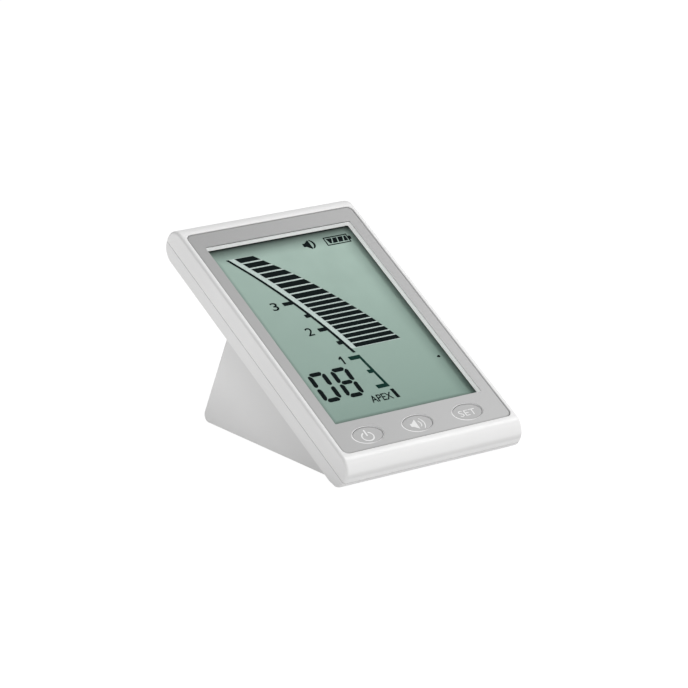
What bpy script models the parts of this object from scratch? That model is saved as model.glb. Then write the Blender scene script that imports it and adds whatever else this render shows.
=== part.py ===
"""Tabletop dental apex locator: a display unit leaning at 30 degrees on a fixed wedge stand.

World frame: +Z up, the display faces -Y, +X to its right, origin on the table below the
middle of the object. Sizes are in millimetres and are turned into metres when a mesh is
made. The display unit is modelled in its own frame: x across, y up the face, z out of the
face, with z = 0 half way through its thickness.
"""

import math
from collections import namedtuple

import bmesh
import bpy
from mathutils import Matrix, Vector

MM = 0.001
SHARP_ANGLE = math.radians(35.0)    # edges steeper than this stay crisp

# --- finishes ---------------------------------------------------------------
Finish = namedtuple("Finish", "colour roughness metallic alpha", defaults=(0.0, 1.0))

WHITE = Finish((0.83, 0.83, 0.82), roughness=0.38)
STAND_WHITE = Finish((0.80, 0.80, 0.79), roughness=0.42)
GREY = Finish((0.44, 0.43, 0.43), roughness=0.45)
CLEAR = Finish((0.95, 0.97, 0.97), roughness=0.05, alpha=0.15)
LCD = Finish((0.36, 0.46, 0.41), roughness=0.30)
GLASS = Finish((0.60, 0.66, 0.64), roughness=0.10, alpha=0.6)
BOARD_GREEN = Finish((0.02, 0.16, 0.07), roughness=0.50)
BLACK = Finish((0.02, 0.02, 0.02), roughness=0.45)
DARK = Finish((0.05, 0.05, 0.055), roughness=0.60)
STEEL = Finish((0.55, 0.55, 0.56), roughness=0.30, metallic=1.0)
BRASS = Finish((0.70, 0.52, 0.22), roughness=0.35, metallic=1.0)
RUBBER = Finish((0.10, 0.10, 0.10), roughness=0.85)
BLUE = Finish((0.05, 0.17, 0.42), roughness=0.40)
CREAM = Finish((0.78, 0.75, 0.66), roughness=0.50)


# --- objects ----------------------------------------------------------------
def remove_objects():
    for obj in list(bpy.data.objects):
        bpy.data.objects.remove(obj, do_unlink=True)


def make_material(name, finish):
    material = bpy.data.materials.new(name)
    material.use_nodes = True
    inputs = material.node_tree.nodes["Principled BSDF"].inputs
    inputs["Base Color"].default_value = (*finish.colour, 1.0)
    inputs["Roughness"].default_value = finish.roughness
    inputs["Metallic"].default_value = finish.metallic
    inputs["Alpha"].default_value = finish.alpha
    return material


def face_outwards(solid):
    if solid.calc_volume(signed=True) < 0:
        bmesh.ops.reverse_faces(solid, faces=solid.faces[:])


def place(name, solid, parent=None, origin=(0, 0, 0)):
    """Turn a millimetre bmesh into an object with its origin at `origin` in its parent's frame."""
    solid.normal_update()
    face_outwards(solid)
    bmesh.ops.translate(solid, verts=solid.verts[:], vec=-Vector(origin))
    bmesh.ops.scale(solid, verts=solid.verts[:], vec=(MM, MM, MM))
    mesh = bpy.data.meshes.new(name)
    solid.to_mesh(mesh)
    solid.free()
    obj = bpy.data.objects.new(name, mesh)
    obj.location = Vector(origin) * MM
    obj.parent = parent
    bpy.context.scene.collection.objects.link(obj)
    return obj


def piece(name, solid, finish, parent=None, origin=(0, 0, 0)):
    """A visible part with a material of its own."""
    obj = place(name, solid, parent, origin)
    obj.data.materials.append(make_material(name + "_finish", finish))
    obj.data.shade_smooth()
    obj.data.set_sharp_from_angle(angle=SHARP_ANGLE)
    return obj


def joined(parts):
    """Several separate solids as one bmesh."""
    whole = bmesh.new()
    for solid in parts:
        face_outwards(solid)
        mesh = bpy.data.meshes.new("part")
        solid.to_mesh(mesh)
        solid.free()
        whole.from_mesh(mesh)
        bpy.data.meshes.remove(mesh)
    return whole


def tool(name, *parts, parent=None):
    """A hidden helper used by boolean modifiers."""
    obj = place(name, joined(parts), parent)
    obj.display_type = "WIRE"
    obj.hide_render = True
    return obj


def boolean(obj, other, operation="DIFFERENCE"):
    modifier = obj.modifiers.new(operation.lower() + "_" + other.name, "BOOLEAN")
    modifier.object = other
    modifier.operation = operation
    modifier.solver = "EXACT"


def cut(obj, name, *parts):
    """Cut parts, given in the frame of the object's parent, out of the object."""
    boolean(obj, tool(name, *parts, parent=obj.parent))


# --- outlines ---------------------------------------------------------------
def rect(x_min, x_max, y_min, y_max):
    return [(x_min, y_min), (x_max, y_min), (x_max, y_max), (x_min, y_max)]


def round_rect(half_x, y_min, y_max, radius, seg=6):
    """Rounded rectangle centred on x = 0."""
    right, low, high = half_x - radius, y_min + radius, y_max - radius
    points = []
    for x, y, start in ((right, low, -90), (right, high, 0), (-right, high, 90), (-right, low, 180)):
        for i in range(seg + 1):
            angle = math.radians(start + 90.0 * i / seg)
            points.append((x + radius * math.cos(angle), y + radius * math.sin(angle)))
    return points


def ellipse(centre, half_x, half_y, seg=32):
    angles = [2 * math.pi * i / seg for i in range(seg)]
    return [(centre[0] + half_x * math.cos(angle), centre[1] + half_y * math.sin(angle))
            for angle in angles]


def round_corner(before, corner, after, radius, seg=6):
    """Arc that replaces one corner of an anticlockwise polygon."""
    corner = Vector(corner)
    arriving = (corner - Vector(before)).normalized()
    leaving = (Vector(after) - corner).normalized()
    half_angle = math.acos(max(-1.0, min(1.0, (-arriving).dot(leaving)))) / 2
    reach = radius / math.tan(half_angle)
    centre = corner + (leaving - arriving).normalized() * (radius / math.sin(half_angle))
    first = corner - arriving * reach - centre
    last = corner + leaving * reach - centre
    start = math.atan2(first.y, first.x)
    end = math.atan2(last.y, last.x)
    while end < start:
        end += 2 * math.pi
    angles = [start + (end - start) * i / seg for i in range(seg + 1)]
    return [(centre.x + radius * math.cos(angle), centre.y + radius * math.sin(angle))
            for angle in angles]


def edge_stations(half_x, fillet, steps):
    """(x, inset) across a body centred on x = 0 whose side edges are rounded by `fillet`."""
    right = []
    for i in range(steps + 1):
        angle = math.pi / 2 * i / steps
        right.append((half_x - fillet * (1 - math.sin(angle)), fillet * (1 - math.cos(angle))))
    return [(-x, inset) for x, inset in reversed(right)] + right


# --- solids -----------------------------------------------------------------
def loft(loops):
    """Closed solid through loops of equal length, capped at both ends."""
    solid = bmesh.new()
    rings = [[solid.verts.new(point) for point in loop] for loop in loops]
    count = len(rings[0])
    for ring, following in zip(rings, rings[1:]):
        for i in range(count):
            j = (i + 1) % count
            solid.faces.new((ring[i], ring[j], following[j], following[i]))
    solid.faces.new(list(reversed(rings[0])))
    solid.faces.new(rings[-1])
    bmesh.ops.recalc_face_normals(solid, faces=solid.faces[:])
    return solid


def stacked(levels):
    """Solid through (outline in x and y, z) levels."""
    return loft([[(x, y, z) for x, y in outline] for outline, z in levels])


def prism(outline, z_min, z_max):
    return stacked([(outline, z_min), (outline, z_max)])


def run_x(outline, half_x):
    """Outline in y and z run along x, centred."""
    return loft([[(x, y, z) for y, z in outline] for x in (-half_x, half_x)])


def run_y(outline, y_min, y_max):
    """Outline in x and z run along y."""
    return loft([[(x, y, z) for x, z in outline] for y in (y_min, y_max)])


def box(x_min, x_max, y_min, y_max, z_min, z_max):
    return prism(rect(x_min, x_max, y_min, y_max), z_min, z_max)


def centred_box(half_x, y_min, y_max, z_min, z_max):
    """Box centred on x = 0."""
    return box(-half_x, half_x, y_min, y_max, z_min, z_max)


def disc(centre, radius, z_min, z_max, seg=16):
    return prism(ellipse(centre, radius, radius, seg), z_min, z_max)


def discs(centres, radius, z_min, z_max, seg=16):
    return [disc(centre, radius, z_min, z_max, seg) for centre in centres]


def turned(centre, profile, seg=16):
    """Solid of revolution about a line along z: profile is (radius, z) from low to high."""
    return stacked([(ellipse(centre, radius, radius, seg), z) for radius, z in profile])


def cross(centre, arm, half, z_min, z_max):
    """Cross with arms of length `arm` and half width `half`."""
    points = [(half, arm), (-half, arm), (-half, half), (-arm, half), (-arm, -half), (-half, -half),
              (-half, -arm), (half, -arm), (half, -half), (arm, -half), (arm, half), (half, half)]
    return prism([(centre[0] + x, centre[1] + y) for x, y in points], z_min, z_max)


def moved(solid, matrix):
    bmesh.ops.transform(solid, matrix=matrix, verts=solid.verts[:])
    return solid


def sweep(controls, radius, seg=8, steps=14):
    """Round lead along a cubic Bezier curve through four control points."""
    path = []
    for i in range(steps + 1):
        t = i / steps
        weights = ((1 - t) ** 3, 3 * t * (1 - t) ** 2, 3 * t * t * (1 - t), t ** 3)
        path.append(sum((point * weight for point, weight in zip(controls, weights)), Vector()))
    loops = []
    side = None
    for i, point in enumerate(path):
        along = (path[min(i + 1, steps)] - path[max(i - 1, 0)]).normalized()
        if side is None:
            side = along.orthogonal().normalized()
        # Carrying the last side vector along keeps the lead from twisting.
        side = (side - along * side.dot(along)).normalized()
        other = along.cross(side)
        loops.append([tuple(point + side * x + other * y)
                      for x, y in ellipse((0, 0), radius, radius, seg)])
    return loft(loops)


# --- screws -----------------------------------------------------------------
Screw = namedtuple("Screw", "head_z head_radius head_height shaft_radius tip_z")

HOUSING_SCREW = Screw(head_z=-6.55, head_radius=2.0, head_height=1.2, shaft_radius=0.95, tip_z=3.2)
STAND_SCREW = Screw(head_z=-10.5, head_radius=2.1, head_height=1.3, shaft_radius=0.95, tip_z=-3.6)
BASE_SCREW = Screw(head_z=0.95, head_radius=2.3, head_height=1.15, shaft_radius=1.1, tip_z=9.5)


def add_screws(prefix, centres, size, parent=None):
    """Pan-head screws pointing to +z, with a cross recess in the head's outer face."""
    head_z, head_radius, head_height, shaft_radius, tip_z = size
    shoulder_z = head_z + head_height
    profile = [(head_radius * 0.72, head_z), (head_radius, head_z + head_height * 0.45),
               (head_radius, shoulder_z), (shaft_radius, shoulder_z),
               (shaft_radius, tip_z - shaft_radius), (shaft_radius * 0.45, tip_z)]
    for i, centre in enumerate(centres, 1):
        name = f"{prefix}_{i}"
        obj = piece(name, turned(centre, profile, seg=14), STEEL, parent)
        cut(obj, name + "_drive", cross(centre, head_radius * 0.58, head_radius * 0.14,
                                        head_z - 0.5, head_z + head_height * 0.62))


def four_places(half_x, y_low, y_high):
    return [(x, y) for y in (y_low, y_high) for x in (-half_x, half_x)]


# --- display unit: driving sizes --------------------------------------------
TILT = math.radians(30.0)       # face angle from the table
UNIT_CENTRE_Z = 36.675          # height of the display unit's centre
UNIT_TO_WORLD = Matrix.Translation((0, 0, UNIT_CENTRE_Z)) @ Matrix.Rotation(TILT, 4, "X")
WIDTH, LENGTH, THICK = 80.0, 130.0, 13.5
END_R = THICK / 2               # full bullnose at the top and bottom ends
END_Y = LENGTH / 2 - END_R      # centre line of each bullnose
SIDE_FILLET = 1.1
WALL = 1.8
CAVITY_R = END_R - WALL
SEAM_Z, SEAM_GAP = -1.2, 0.2    # parting plane between front and rear shell
PART_GAP = 0.15                 # between stacked parts

HOUSING_SCREWS = four_places(33.5, -57.9, 57.9)
STAND_SCREWS = four_places(22.0, -34.0, 12.0)
SCREW_HOLE_R = 1.15             # screw holes in both shells
CABLE_SLOT = (8.0, -8.0, -2.0)  # half width, lowest and highest y

BOARD_TOP, BOARD_UNDER = -1.3, -2.9
ON_BOARD = BOARD_TOP + PART_GAP
UNDER_BOARD = BOARD_UNDER - PART_GAP


def stadium(radius, z_min, z_max, seg=8):
    """Display unit's section in y and z between two heights: round ends of the given radius."""
    low = math.asin(max(-1.0, min(1.0, z_min / radius)))
    high = math.asin(max(-1.0, min(1.0, z_max / radius)))
    arc = [low + (high - low) * i / seg for i in range(seg + 1)]
    top_end = [(END_Y + radius * math.cos(angle), radius * math.sin(angle)) for angle in arc]
    return top_end + [(-y, z) for y, z in reversed(top_end)]


def shell_solid(z_min, z_max):
    """Outer form of a shell. A limit beyond the rounding follows it; one inside is a flat cut."""
    loops = []
    for x, inset in edge_stations(WIDTH / 2, SIDE_FILLET, steps=3):
        radius = END_R - inset
        section = stadium(radius, max(z_min, -radius), min(z_max, radius), seg=10)
        loops.append([(x, y, z) for y, z in section])
    return loft(loops)


def add_unit_frame():
    """Empty that carries every part of the display unit."""
    frame = bpy.data.objects.new("display_unit_frame", None)
    frame.location = Vector((0, 0, UNIT_CENTRE_Z)) * MM
    frame.rotation_euler = (TILT, 0, 0)
    bpy.context.scene.collection.objects.link(frame)
    return frame


# --- front shell and panel --------------------------------------------------
PANEL_X, PANEL_Y = 76.0 / 2, 116.0 / 2  # half sizes of the panel recess
PANEL_CORNER = 2.5
PANEL_TOP, PANEL_T = 6.45, 0.5
PANEL_FIT = 0.15
RECESS_FLOOR = 5.75
FRONT_WALL_UNDER = 4.35
FRONT_CAVITY_LOW = -4.5
FRONT_POST_R, FRONT_POST_TOP = 2.2, 6.0
PILOT_TOP = 3.6

WIN_X, WIN_LOW, WIN_HIGH = 33.1, -43.8, 50.8    # half width and y range of the window
WIN_DRAFT = 0.5                                 # how much the window narrows inwards
WIN_STEP = 0.1                                  # shell opening inside the panel's, each side
WINDOW_SHEET = (35.0, -45.4, 53.2, 3.55, 4.2)   # half x, y range, z range

KEY_CENTRES = {"power": (-23.5, -51.4), "volume": (-1.2, -51.4), "set": (21.6, -51.4)}
KEY_A, KEY_B = 6.8, 3.95        # half axes of the key openings


def key_holes(z_min, z_max):
    return [prism(ellipse(centre, KEY_A, KEY_B), z_min, z_max)
            for centre in KEY_CENTRES.values()]


def window_taper():
    """Window opening in the shell, narrowing inwards; it overshoots the wall by 1 each way."""
    slope = WIN_DRAFT / (RECESS_FLOOR - FRONT_WALL_UNDER)
    levels = []
    for z in (FRONT_WALL_UNDER - 1.0, RECESS_FLOOR + 1.0):
        inset = slope * (RECESS_FLOOR - z) + WIN_STEP
        levels.append((rect(-WIN_X + inset, WIN_X - inset, WIN_LOW + inset, WIN_HIGH - inset), z))
    return stacked(levels)


def add_front_housing(unit):
    posts = tool("front_boss_posts", *discs(HOUSING_SCREWS, FRONT_POST_R, ON_BOARD, FRONT_POST_TOP),
                 parent=unit)
    section = stadium(CAVITY_R, FRONT_CAVITY_LOW, FRONT_WALL_UNDER)
    cavity = tool("front_cavity", run_x(section, WIDTH / 2 - WALL), parent=unit)
    boolean(cavity, posts)

    front = piece("front_housing", shell_solid(SEAM_Z + SEAM_GAP / 2, END_R + 1), WHITE, unit)
    boolean(front, cavity)
    cut(front, "panel_recess", prism(
        round_rect(PANEL_X, -PANEL_Y, PANEL_Y, PANEL_CORNER), RECESS_FLOOR, 9.0))
    cut(front, "window_opening", window_taper())
    cut(front, "key_openings", *key_holes(3.0, 7.0),
        *discs(HOUSING_SCREWS, SCREW_HOLE_R, -2.0, PILOT_TOP, seg=12))


def add_front_panel(unit):
    half_y = PANEL_Y - PANEL_FIT
    outline = round_rect(PANEL_X - PANEL_FIT, -half_y, half_y, PANEL_CORNER)
    panel = piece("front_panel", prism(outline, PANEL_TOP - PANEL_T, PANEL_TOP), GREY, unit)
    cut(panel, "panel_openings",
        centred_box(WIN_X, WIN_LOW, WIN_HIGH, 5.0, 7.5), *key_holes(5.0, 7.5))
    piece("display_window", centred_box(*WINDOW_SHEET), CLEAR, unit)


# --- rear shell -------------------------------------------------------------
REAR_CAVITY_X = 37.2
HOUSING_POST_R, STAND_POST_R = 2.6, 2.4
POST_LOW = -6.0
STAND_POST_GAP = 0.3            # below the board
LIP_OUTER = (38.0, -61.9, 61.9, 1.0)    # half width, y range, corner radius
LIP_INNER = (37.3, -61.1, 61.1, 0.5)
LIP_LOW, LIP_RISE = -4.4, 1.1   # lowest z, height above the seam
BUZZER_AT = (20.0, 34.0)
SOUND_HOLE_PITCH, SOUND_HOLE_R = 3.2, 0.7
COUNTERBORE_R, COUNTERBORE_TOP = 2.3, -5.25
REAR_CUT_LOW = -8.0             # cutters start here, clear of the shell


def sound_hole_centres():
    """One hole over the buzzer and six around it."""
    x, y = BUZZER_AT
    return [BUZZER_AT] + [(x + SOUND_HOLE_PITCH * math.cos(math.radians(60 * i)),
                           y + SOUND_HOLE_PITCH * math.sin(math.radians(60 * i))) for i in range(6)]


def add_rear_housing(unit):
    posts = tool("rear_boss_posts",
                 *discs(HOUSING_SCREWS, HOUSING_POST_R, POST_LOW, UNDER_BOARD),
                 *discs(STAND_SCREWS, STAND_POST_R, POST_LOW, BOARD_UNDER - STAND_POST_GAP),
                 parent=unit)
    section = stadium(CAVITY_R, -END_R + WALL, 2.0)
    cavity = tool("rear_cavity", run_x(section, REAR_CAVITY_X), parent=unit)
    boolean(cavity, posts)
    rear = piece("rear_housing", shell_solid(-END_R - 1, SEAM_Z - SEAM_GAP / 2), WHITE, unit)
    boolean(rear, cavity)

    lip = tool("rear_lip", prism(round_rect(*LIP_OUTER, seg=2), LIP_LOW, SEAM_Z + LIP_RISE),
               parent=unit)
    cut(lip, "rear_lip_inside", prism(round_rect(*LIP_INNER, seg=2), -6.0, 2.0))
    boolean(rear, lip, "UNION")

    cut(rear, "rear_openings",
        *discs(HOUSING_SCREWS, SCREW_HOLE_R, REAR_CUT_LOW, -2.0, seg=12),
        *discs(STAND_SCREWS, SCREW_HOLE_R, REAR_CUT_LOW, -2.6, seg=12),
        *discs(sound_hole_centres(), SOUND_HOLE_R, REAR_CUT_LOW, -4.0, seg=8),
        centred_box(*CABLE_SLOT, REAR_CUT_LOW, -4.0))
    cut(rear, "rear_counterbores",
        *discs(HOUSING_SCREWS, COUNTERBORE_R, REAR_CUT_LOW, COUNTERBORE_TOP))


# --- liquid crystal display -------------------------------------------------
# Blocks centred on x = 0: half x, y range, z range.
LCD_FRONT = (34.8, -45.6, 54.3, 2.35, 3.4)
LCD_REAR = (34.8, -45.6, 51.4, 1.1, 2.2)
ZEBRA_STRIP = (30.0, 51.9, 53.9, ON_BOARD, 2.2)
HOLDER = (36.4, -46.6, 55.2, ON_BOARD, 3.4)
HOLDER_POCKET = (35.0, -45.8, 54.5, 0.95, 6.0)
HOLDER_OPENING = (32.5, -42.5, 49.5, -3.0, 2.0)
HOLDER_STRIP_SLOT = (30.3, 51.6, 54.2, -3.0, 2.0)


def add_lcd(unit):
    piece("lcd_front_glass", centred_box(*LCD_FRONT), LCD, unit)
    piece("lcd_rear_glass", centred_box(*LCD_REAR), GLASS, unit)
    piece("zebra_strip", centred_box(*ZEBRA_STRIP), DARK, unit)
    holder = piece("lcd_holder", centred_box(*HOLDER), CREAM, unit)
    cut(holder, "lcd_holder_pocket", centred_box(*HOLDER_POCKET))
    cut(holder, "lcd_holder_openings",
        centred_box(*HOLDER_OPENING), centred_box(*HOLDER_STRIP_SLOT))


# --- board ------------------------------------------------------------------
BOARD_X, BOARD_Y, BOARD_CORNER = 36.5, 60.0, 1.5
BOARD_HOLE_R = 1.3
CHIP_LOW = -4.3
PROCESSOR = (-21.0, -11.0, 18.0, 28.0)      # x range, y range
MEASURING_CHIP = (12.0, 19.0, -23.0, -18.0)
CONNECTOR = (7.5, -7.4, -2.6, -4.6)         # half x, y range, lowest z
SOCKET_XS, SOCKET_HALF_X = (-5.0, 0.0, 5.0), 1.6
SOCKET_YZ = (-6.4, -3.6, -5.5, -3.6)        # y range, z range
BUZZER_R, BUZZER_LOW, BUZZER_HIGH = 9.0, -4.7, -4.1


def add_board(unit):
    outline = round_rect(BOARD_X, -BOARD_Y, BOARD_Y, BOARD_CORNER, seg=3)
    board = piece("main_board", prism(outline, BOARD_UNDER, BOARD_TOP), BOARD_GREEN, unit)
    cut(board, "board_holes", *discs(HOUSING_SCREWS, BOARD_HOLE_R, -5.0, 1.0, seg=12))
    piece("processor_chip", box(*PROCESSOR, CHIP_LOW, UNDER_BOARD), BLACK, unit)
    piece("measuring_chip", box(*MEASURING_CHIP, CHIP_LOW, UNDER_BOARD), BLACK, unit)
    connector = piece("board_connector", centred_box(*CONNECTOR, UNDER_BOARD), CREAM, unit)
    cut(connector, "board_connector_sockets",
        *[box(x - SOCKET_HALF_X, x + SOCKET_HALF_X, *SOCKET_YZ) for x in SOCKET_XS])
    piece("buzzer_disc", disc(BUZZER_AT, BUZZER_R, BUZZER_LOW, BUZZER_HIGH, seg=24), BRASS, unit)


# --- keys and their switches ------------------------------------------------
KEY_GAP = 0.15
KEY_TOP = 6.12
KEY_EDGE = 0.35                 # rounding of the button's top edge
KEY_STEM_R, KEY_STEM_LOW = 1.5, 2.75
FLANGE_OUT, FLANGE_LOW, FLANGE_HIGH = 0.75, 2.9, 4.15
SWITCH_HALF, SWITCH_TOP = 3.0, 2.1
BORE_R, BORE_LOW = 1.95, 0.2
PLUNGER_PROFILE = [(1.7, 0.85), (1.7, 2.5), (1.55, 2.62)]   # radius, z


def button_solid(centre):
    """Oval cap on a wider flange, with a short round stem below."""
    def oval(grow):
        return ellipse(centre, KEY_A - KEY_GAP + grow, KEY_B - KEY_GAP + grow)

    stem = ellipse(centre, KEY_STEM_R, KEY_STEM_R)
    flange = oval(FLANGE_OUT)
    return stacked([
        (stem, KEY_STEM_LOW), (stem, FLANGE_LOW), (flange, FLANGE_LOW), (flange, FLANGE_HIGH),
        (oval(0.0), FLANGE_HIGH), (oval(0.0), KEY_TOP - KEY_EDGE),
        (oval(-0.1), KEY_TOP - 0.13), (oval(-KEY_EDGE), KEY_TOP)])


def add_keys(unit):
    for key, centre in KEY_CENTRES.items():
        x, y = centre
        origin = (x, y, KEY_TOP)
        piece(key + "_button", button_solid(centre), GREY, unit, origin)
        body = piece(key + "_switch_body", box(
            x - SWITCH_HALF, x + SWITCH_HALF, y - SWITCH_HALF, y + SWITCH_HALF,
            ON_BOARD, SWITCH_TOP), DARK, unit)
        cut(body, key + "_switch_bore", disc(centre, BORE_R, BORE_LOW, 4.0))
        piece(key + "_switch_plunger", turned(centre, PLUNGER_PROFILE), BLACK, unit, origin)


# --- stand: driving sizes ---------------------------------------------------
STAND_X = 35.9
STAND_WALL = 2.0
STAND_FILLET = 1.5
BASE_Z = 0.8                    # underside of the stand above the table
STAND_GAP = 0.3                 # to the back of the display unit
REAR_Y = 41.15                  # rear bottom edge
REAR_SLOPE = math.radians(64.8) # rear face from the table
REAR_CORNER_R = 2.5
PLATE_TOP = 3.4
BASE_FIXING_X = 29.7            # shared by the base screws and the feet
BASE_SCREWS = four_places(BASE_FIXING_X, -24.0, 32.0)
FEET = four_places(BASE_FIXING_X, -32.6, 23.0)

DOOR_X, DOOR_Y, DOOR_TOP = 24.0, -8.0, 2.4  # half width, front edge, upper face
DOOR_FIT = 0.25
OPENING_X, OPENING_Y = DOOR_X + DOOR_FIT, DOOR_Y - DOOR_FIT
RAIL_X, RAIL_FIT, RAIL_LOW = 25.3, 0.3, 1.6
RAIL_HIGH = DOOR_TOP + 0.2
WELL_REAR_Y = 32.4

# A point on the stand's top plane, which follows the back of the display unit.
RISE = math.tan(TILT)
TOP_Y = -END_Y * math.cos(TILT) + END_R * math.sin(TILT) + STAND_GAP * math.sin(TILT)
TOP_Z = (UNIT_CENTRE_Z - END_Y * math.sin(TILT) - END_R * math.cos(TILT)
         - STAND_GAP * math.cos(TILT))
FRONT_EDGE_Y = TOP_Y + (BASE_Z - TOP_Z) / RISE


def wedge_apex(rear_y, drop):
    """Where a rear face starting at rear_y meets the top plane lowered by `drop`, in y and z."""
    run = ((rear_y - TOP_Y) * RISE - (BASE_Z - TOP_Z + drop)) / (
        math.sin(REAR_SLOPE) + math.cos(REAR_SLOPE) * RISE)
    return rear_y - run * math.cos(REAR_SLOPE), BASE_Z + run * math.sin(REAR_SLOPE)


def wedge_solid():
    """The rounding draws in the underside and rear; the top plane stays on the display's back."""
    apex_y, apex_z = wedge_apex(REAR_Y, 0.0)
    loops = []
    for x, inset in edge_stations(STAND_X, STAND_FILLET, steps=4):
        low = BASE_Z + inset * 0.35
        front = (FRONT_EDGE_Y + inset / RISE, low)
        rear = (REAR_Y - inset / math.sin(REAR_SLOPE), low)
        apex = (apex_y - inset * 0.9, apex_z - inset * 0.9 * RISE)
        section = [front, *round_corner(front, rear, apex, REAR_CORNER_R), apex]
        loops.append([(x, y, z) for y, z in section])
    return loft(loops)


def add_door_rails():
    """Cutter for the door opening and the wider slots for its tongues."""
    slot_x = RAIL_X + RAIL_FIT
    section = [(-OPENING_X, -1.0), (OPENING_X, -1.0), (OPENING_X, RAIL_LOW), (slot_x, RAIL_LOW),
               (slot_x, RAIL_HIGH), (-slot_x, RAIL_HIGH), (-slot_x, RAIL_LOW),
               (-OPENING_X, RAIL_LOW)]
    return tool("door_rails", run_y(section, OPENING_Y, 50.0))


# --- sockets ----------------------------------------------------------------
# Each socket frame has its origin on the stand's wall and +z pointing out of it.
PROBE_AT = (16.0, 21.0)         # y, z on the right side wall
CHARGE_AT = (-14.0, 22.0)       # x, z on the rear wall
CHARGE_POINT = Vector((CHARGE_AT[0], REAR_Y - (CHARGE_AT[1] - BASE_Z) / math.tan(REAR_SLOPE),
                       CHARGE_AT[1]))
REAR_OUT = Vector((0.0, math.sin(REAR_SLOPE), math.cos(REAR_SLOPE)))
TO_SIDE = Matrix.Translation((STAND_X, *PROBE_AT)) @ Matrix.Rotation(math.pi / 2, 4, "Y")
TO_REAR = (Matrix.Translation(CHARGE_POINT)
           @ REAR_OUT.to_track_quat("Z", "Y").to_matrix().to_4x4())
PROBE_OPENING_R, CHARGE_OPENING_R = 4.3, 4.9

# Turned profiles: radius, z.
PROBE_BODY = [(3.4, -12.5), (3.4, -9.5), (4.0, -9.5), (4.0, 0.2),
              (5.4, 0.2), (5.4, 0.8), (5.1, 1.1)]
PROBE_BORE = [(1.8, -10.5), (1.8, 0.7), (2.3, 1.4)]
CHARGE_BODY = [(3.8, -12.0), (3.8, -9.0), (4.6, -9.0), (4.6, 0.2),
               (5.8, 0.2), (5.8, 0.8), (5.5, 1.1)]
CHARGE_BORE = [(2.8, -9.5), (2.8, 0.7), (3.3, 1.4)]
CHARGE_PIN = [(1.0, -11.0), (1.0, -1.2), (0.6, -0.6)]


def socket_part(profile, frame, seg=16):
    return moved(turned((0, 0), profile, seg), frame)


def add_sockets():
    probe = piece("probe_socket", socket_part(PROBE_BODY, TO_SIDE, seg=24), DARK)
    cut(probe, "probe_bore", socket_part(PROBE_BORE, TO_SIDE))
    charge = piece("charge_socket", socket_part(CHARGE_BODY, TO_REAR, seg=24), BLACK)
    bore = tool("charge_bore", socket_part(CHARGE_BORE, TO_REAR))
    cut(bore, "charge_pin_keep", socket_part(CHARGE_PIN, TO_REAR))
    boolean(charge, bore)


# --- stand housing ----------------------------------------------------------
CAVITY_FRONT_Y, CAVITY_LOW = -38.0, -1.0
BASE_POST_R, BASE_PILOT_R = 3.0, 1.3
TOP_HOLE_R = 1.2


def cavity_section():
    """Inside of the stand in y and z, open at the underside."""
    drop = STAND_WALL / math.cos(TILT)
    rear_y = REAR_Y - STAND_WALL / math.sin(REAR_SLOPE)
    return [(CAVITY_FRONT_Y, CAVITY_LOW),
            (rear_y + (BASE_Z - CAVITY_LOW) / math.tan(REAR_SLOPE), CAVITY_LOW),
            wedge_apex(rear_y, drop),
            (CAVITY_FRONT_Y, TOP_Z + (CAVITY_FRONT_Y - TOP_Y) * RISE - drop)]


def add_stand_housing(unit, rails):
    cavity = tool("stand_cavity", run_x(cavity_section(), STAND_X - STAND_WALL))
    cut(cavity, "stand_boss_posts", *discs(BASE_SCREWS, BASE_POST_R, PLATE_TOP + PART_GAP, 60.0))

    stand = piece("stand_housing", wedge_solid(), STAND_WHITE)
    boolean(stand, cavity)
    cut(stand, "base_screw_pilots", *discs(BASE_SCREWS, BASE_PILOT_R, 0.0, 10.0, seg=12))
    # These openings line up with the rear shell, so they are made in the display unit's frame.
    boolean(stand, tool("stand_top_openings",
                        *discs(STAND_SCREWS, TOP_HOLE_R, -10.0, -6.0, seg=12),
                        centred_box(*CABLE_SLOT, -10.5, -6.0), parent=unit))
    boolean(stand, rails)
    cut(stand, "socket_openings",
        moved(disc((0, 0), PROBE_OPENING_R, -5.0, 3.0), TO_SIDE),
        moved(disc((0, 0), CHARGE_OPENING_R, -5.0, 3.0), TO_REAR))


# --- base plate, feet, door and battery -------------------------------------
PLATE = (33.7, -37.7, 37.4, 1.0)    # half width, y range, corner radius
WELL = (26.0, DOOR_Y - 1.8, WELL_REAR_Y + 1.6, 3.0, 9.0)    # half x, y range, z range
BASE_HOLE_R = 1.35
BASE_BORE_R, BASE_BORE_TOP = 2.6, 2.25
FOOT_R, FOOT_FIT, FOOT_POCKET_TOP = 3.5, 0.25, 2.05
FOOT_PROFILE = [(FOOT_R - 0.5, 0.0), (FOOT_R - 0.1, 0.25), (FOOT_R, 0.6), (FOOT_R, 1.9)]
TONGUE_REAR_Y, TONGUE_LOW = 37.0, 1.7
TONGUE_INSET = 0.01             # keeps the tongues' faces off the door's own
GRIP_X, GRIP_Y, GRIP_PITCH, GRIP_WIDTH, GRIP_DEPTH = 9.0, 24.0, 2.0, 1.0, 0.5
BATTERY_X, BATTERY_FRONT, BATTERY_REAR = 23.0, -4.0, 30.0
BATTERY_LOW, BATTERY_HIGH = 2.8, 12.8
BATTERY_CORNER, BATTERY_EDGE = 1.6, 0.6


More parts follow.
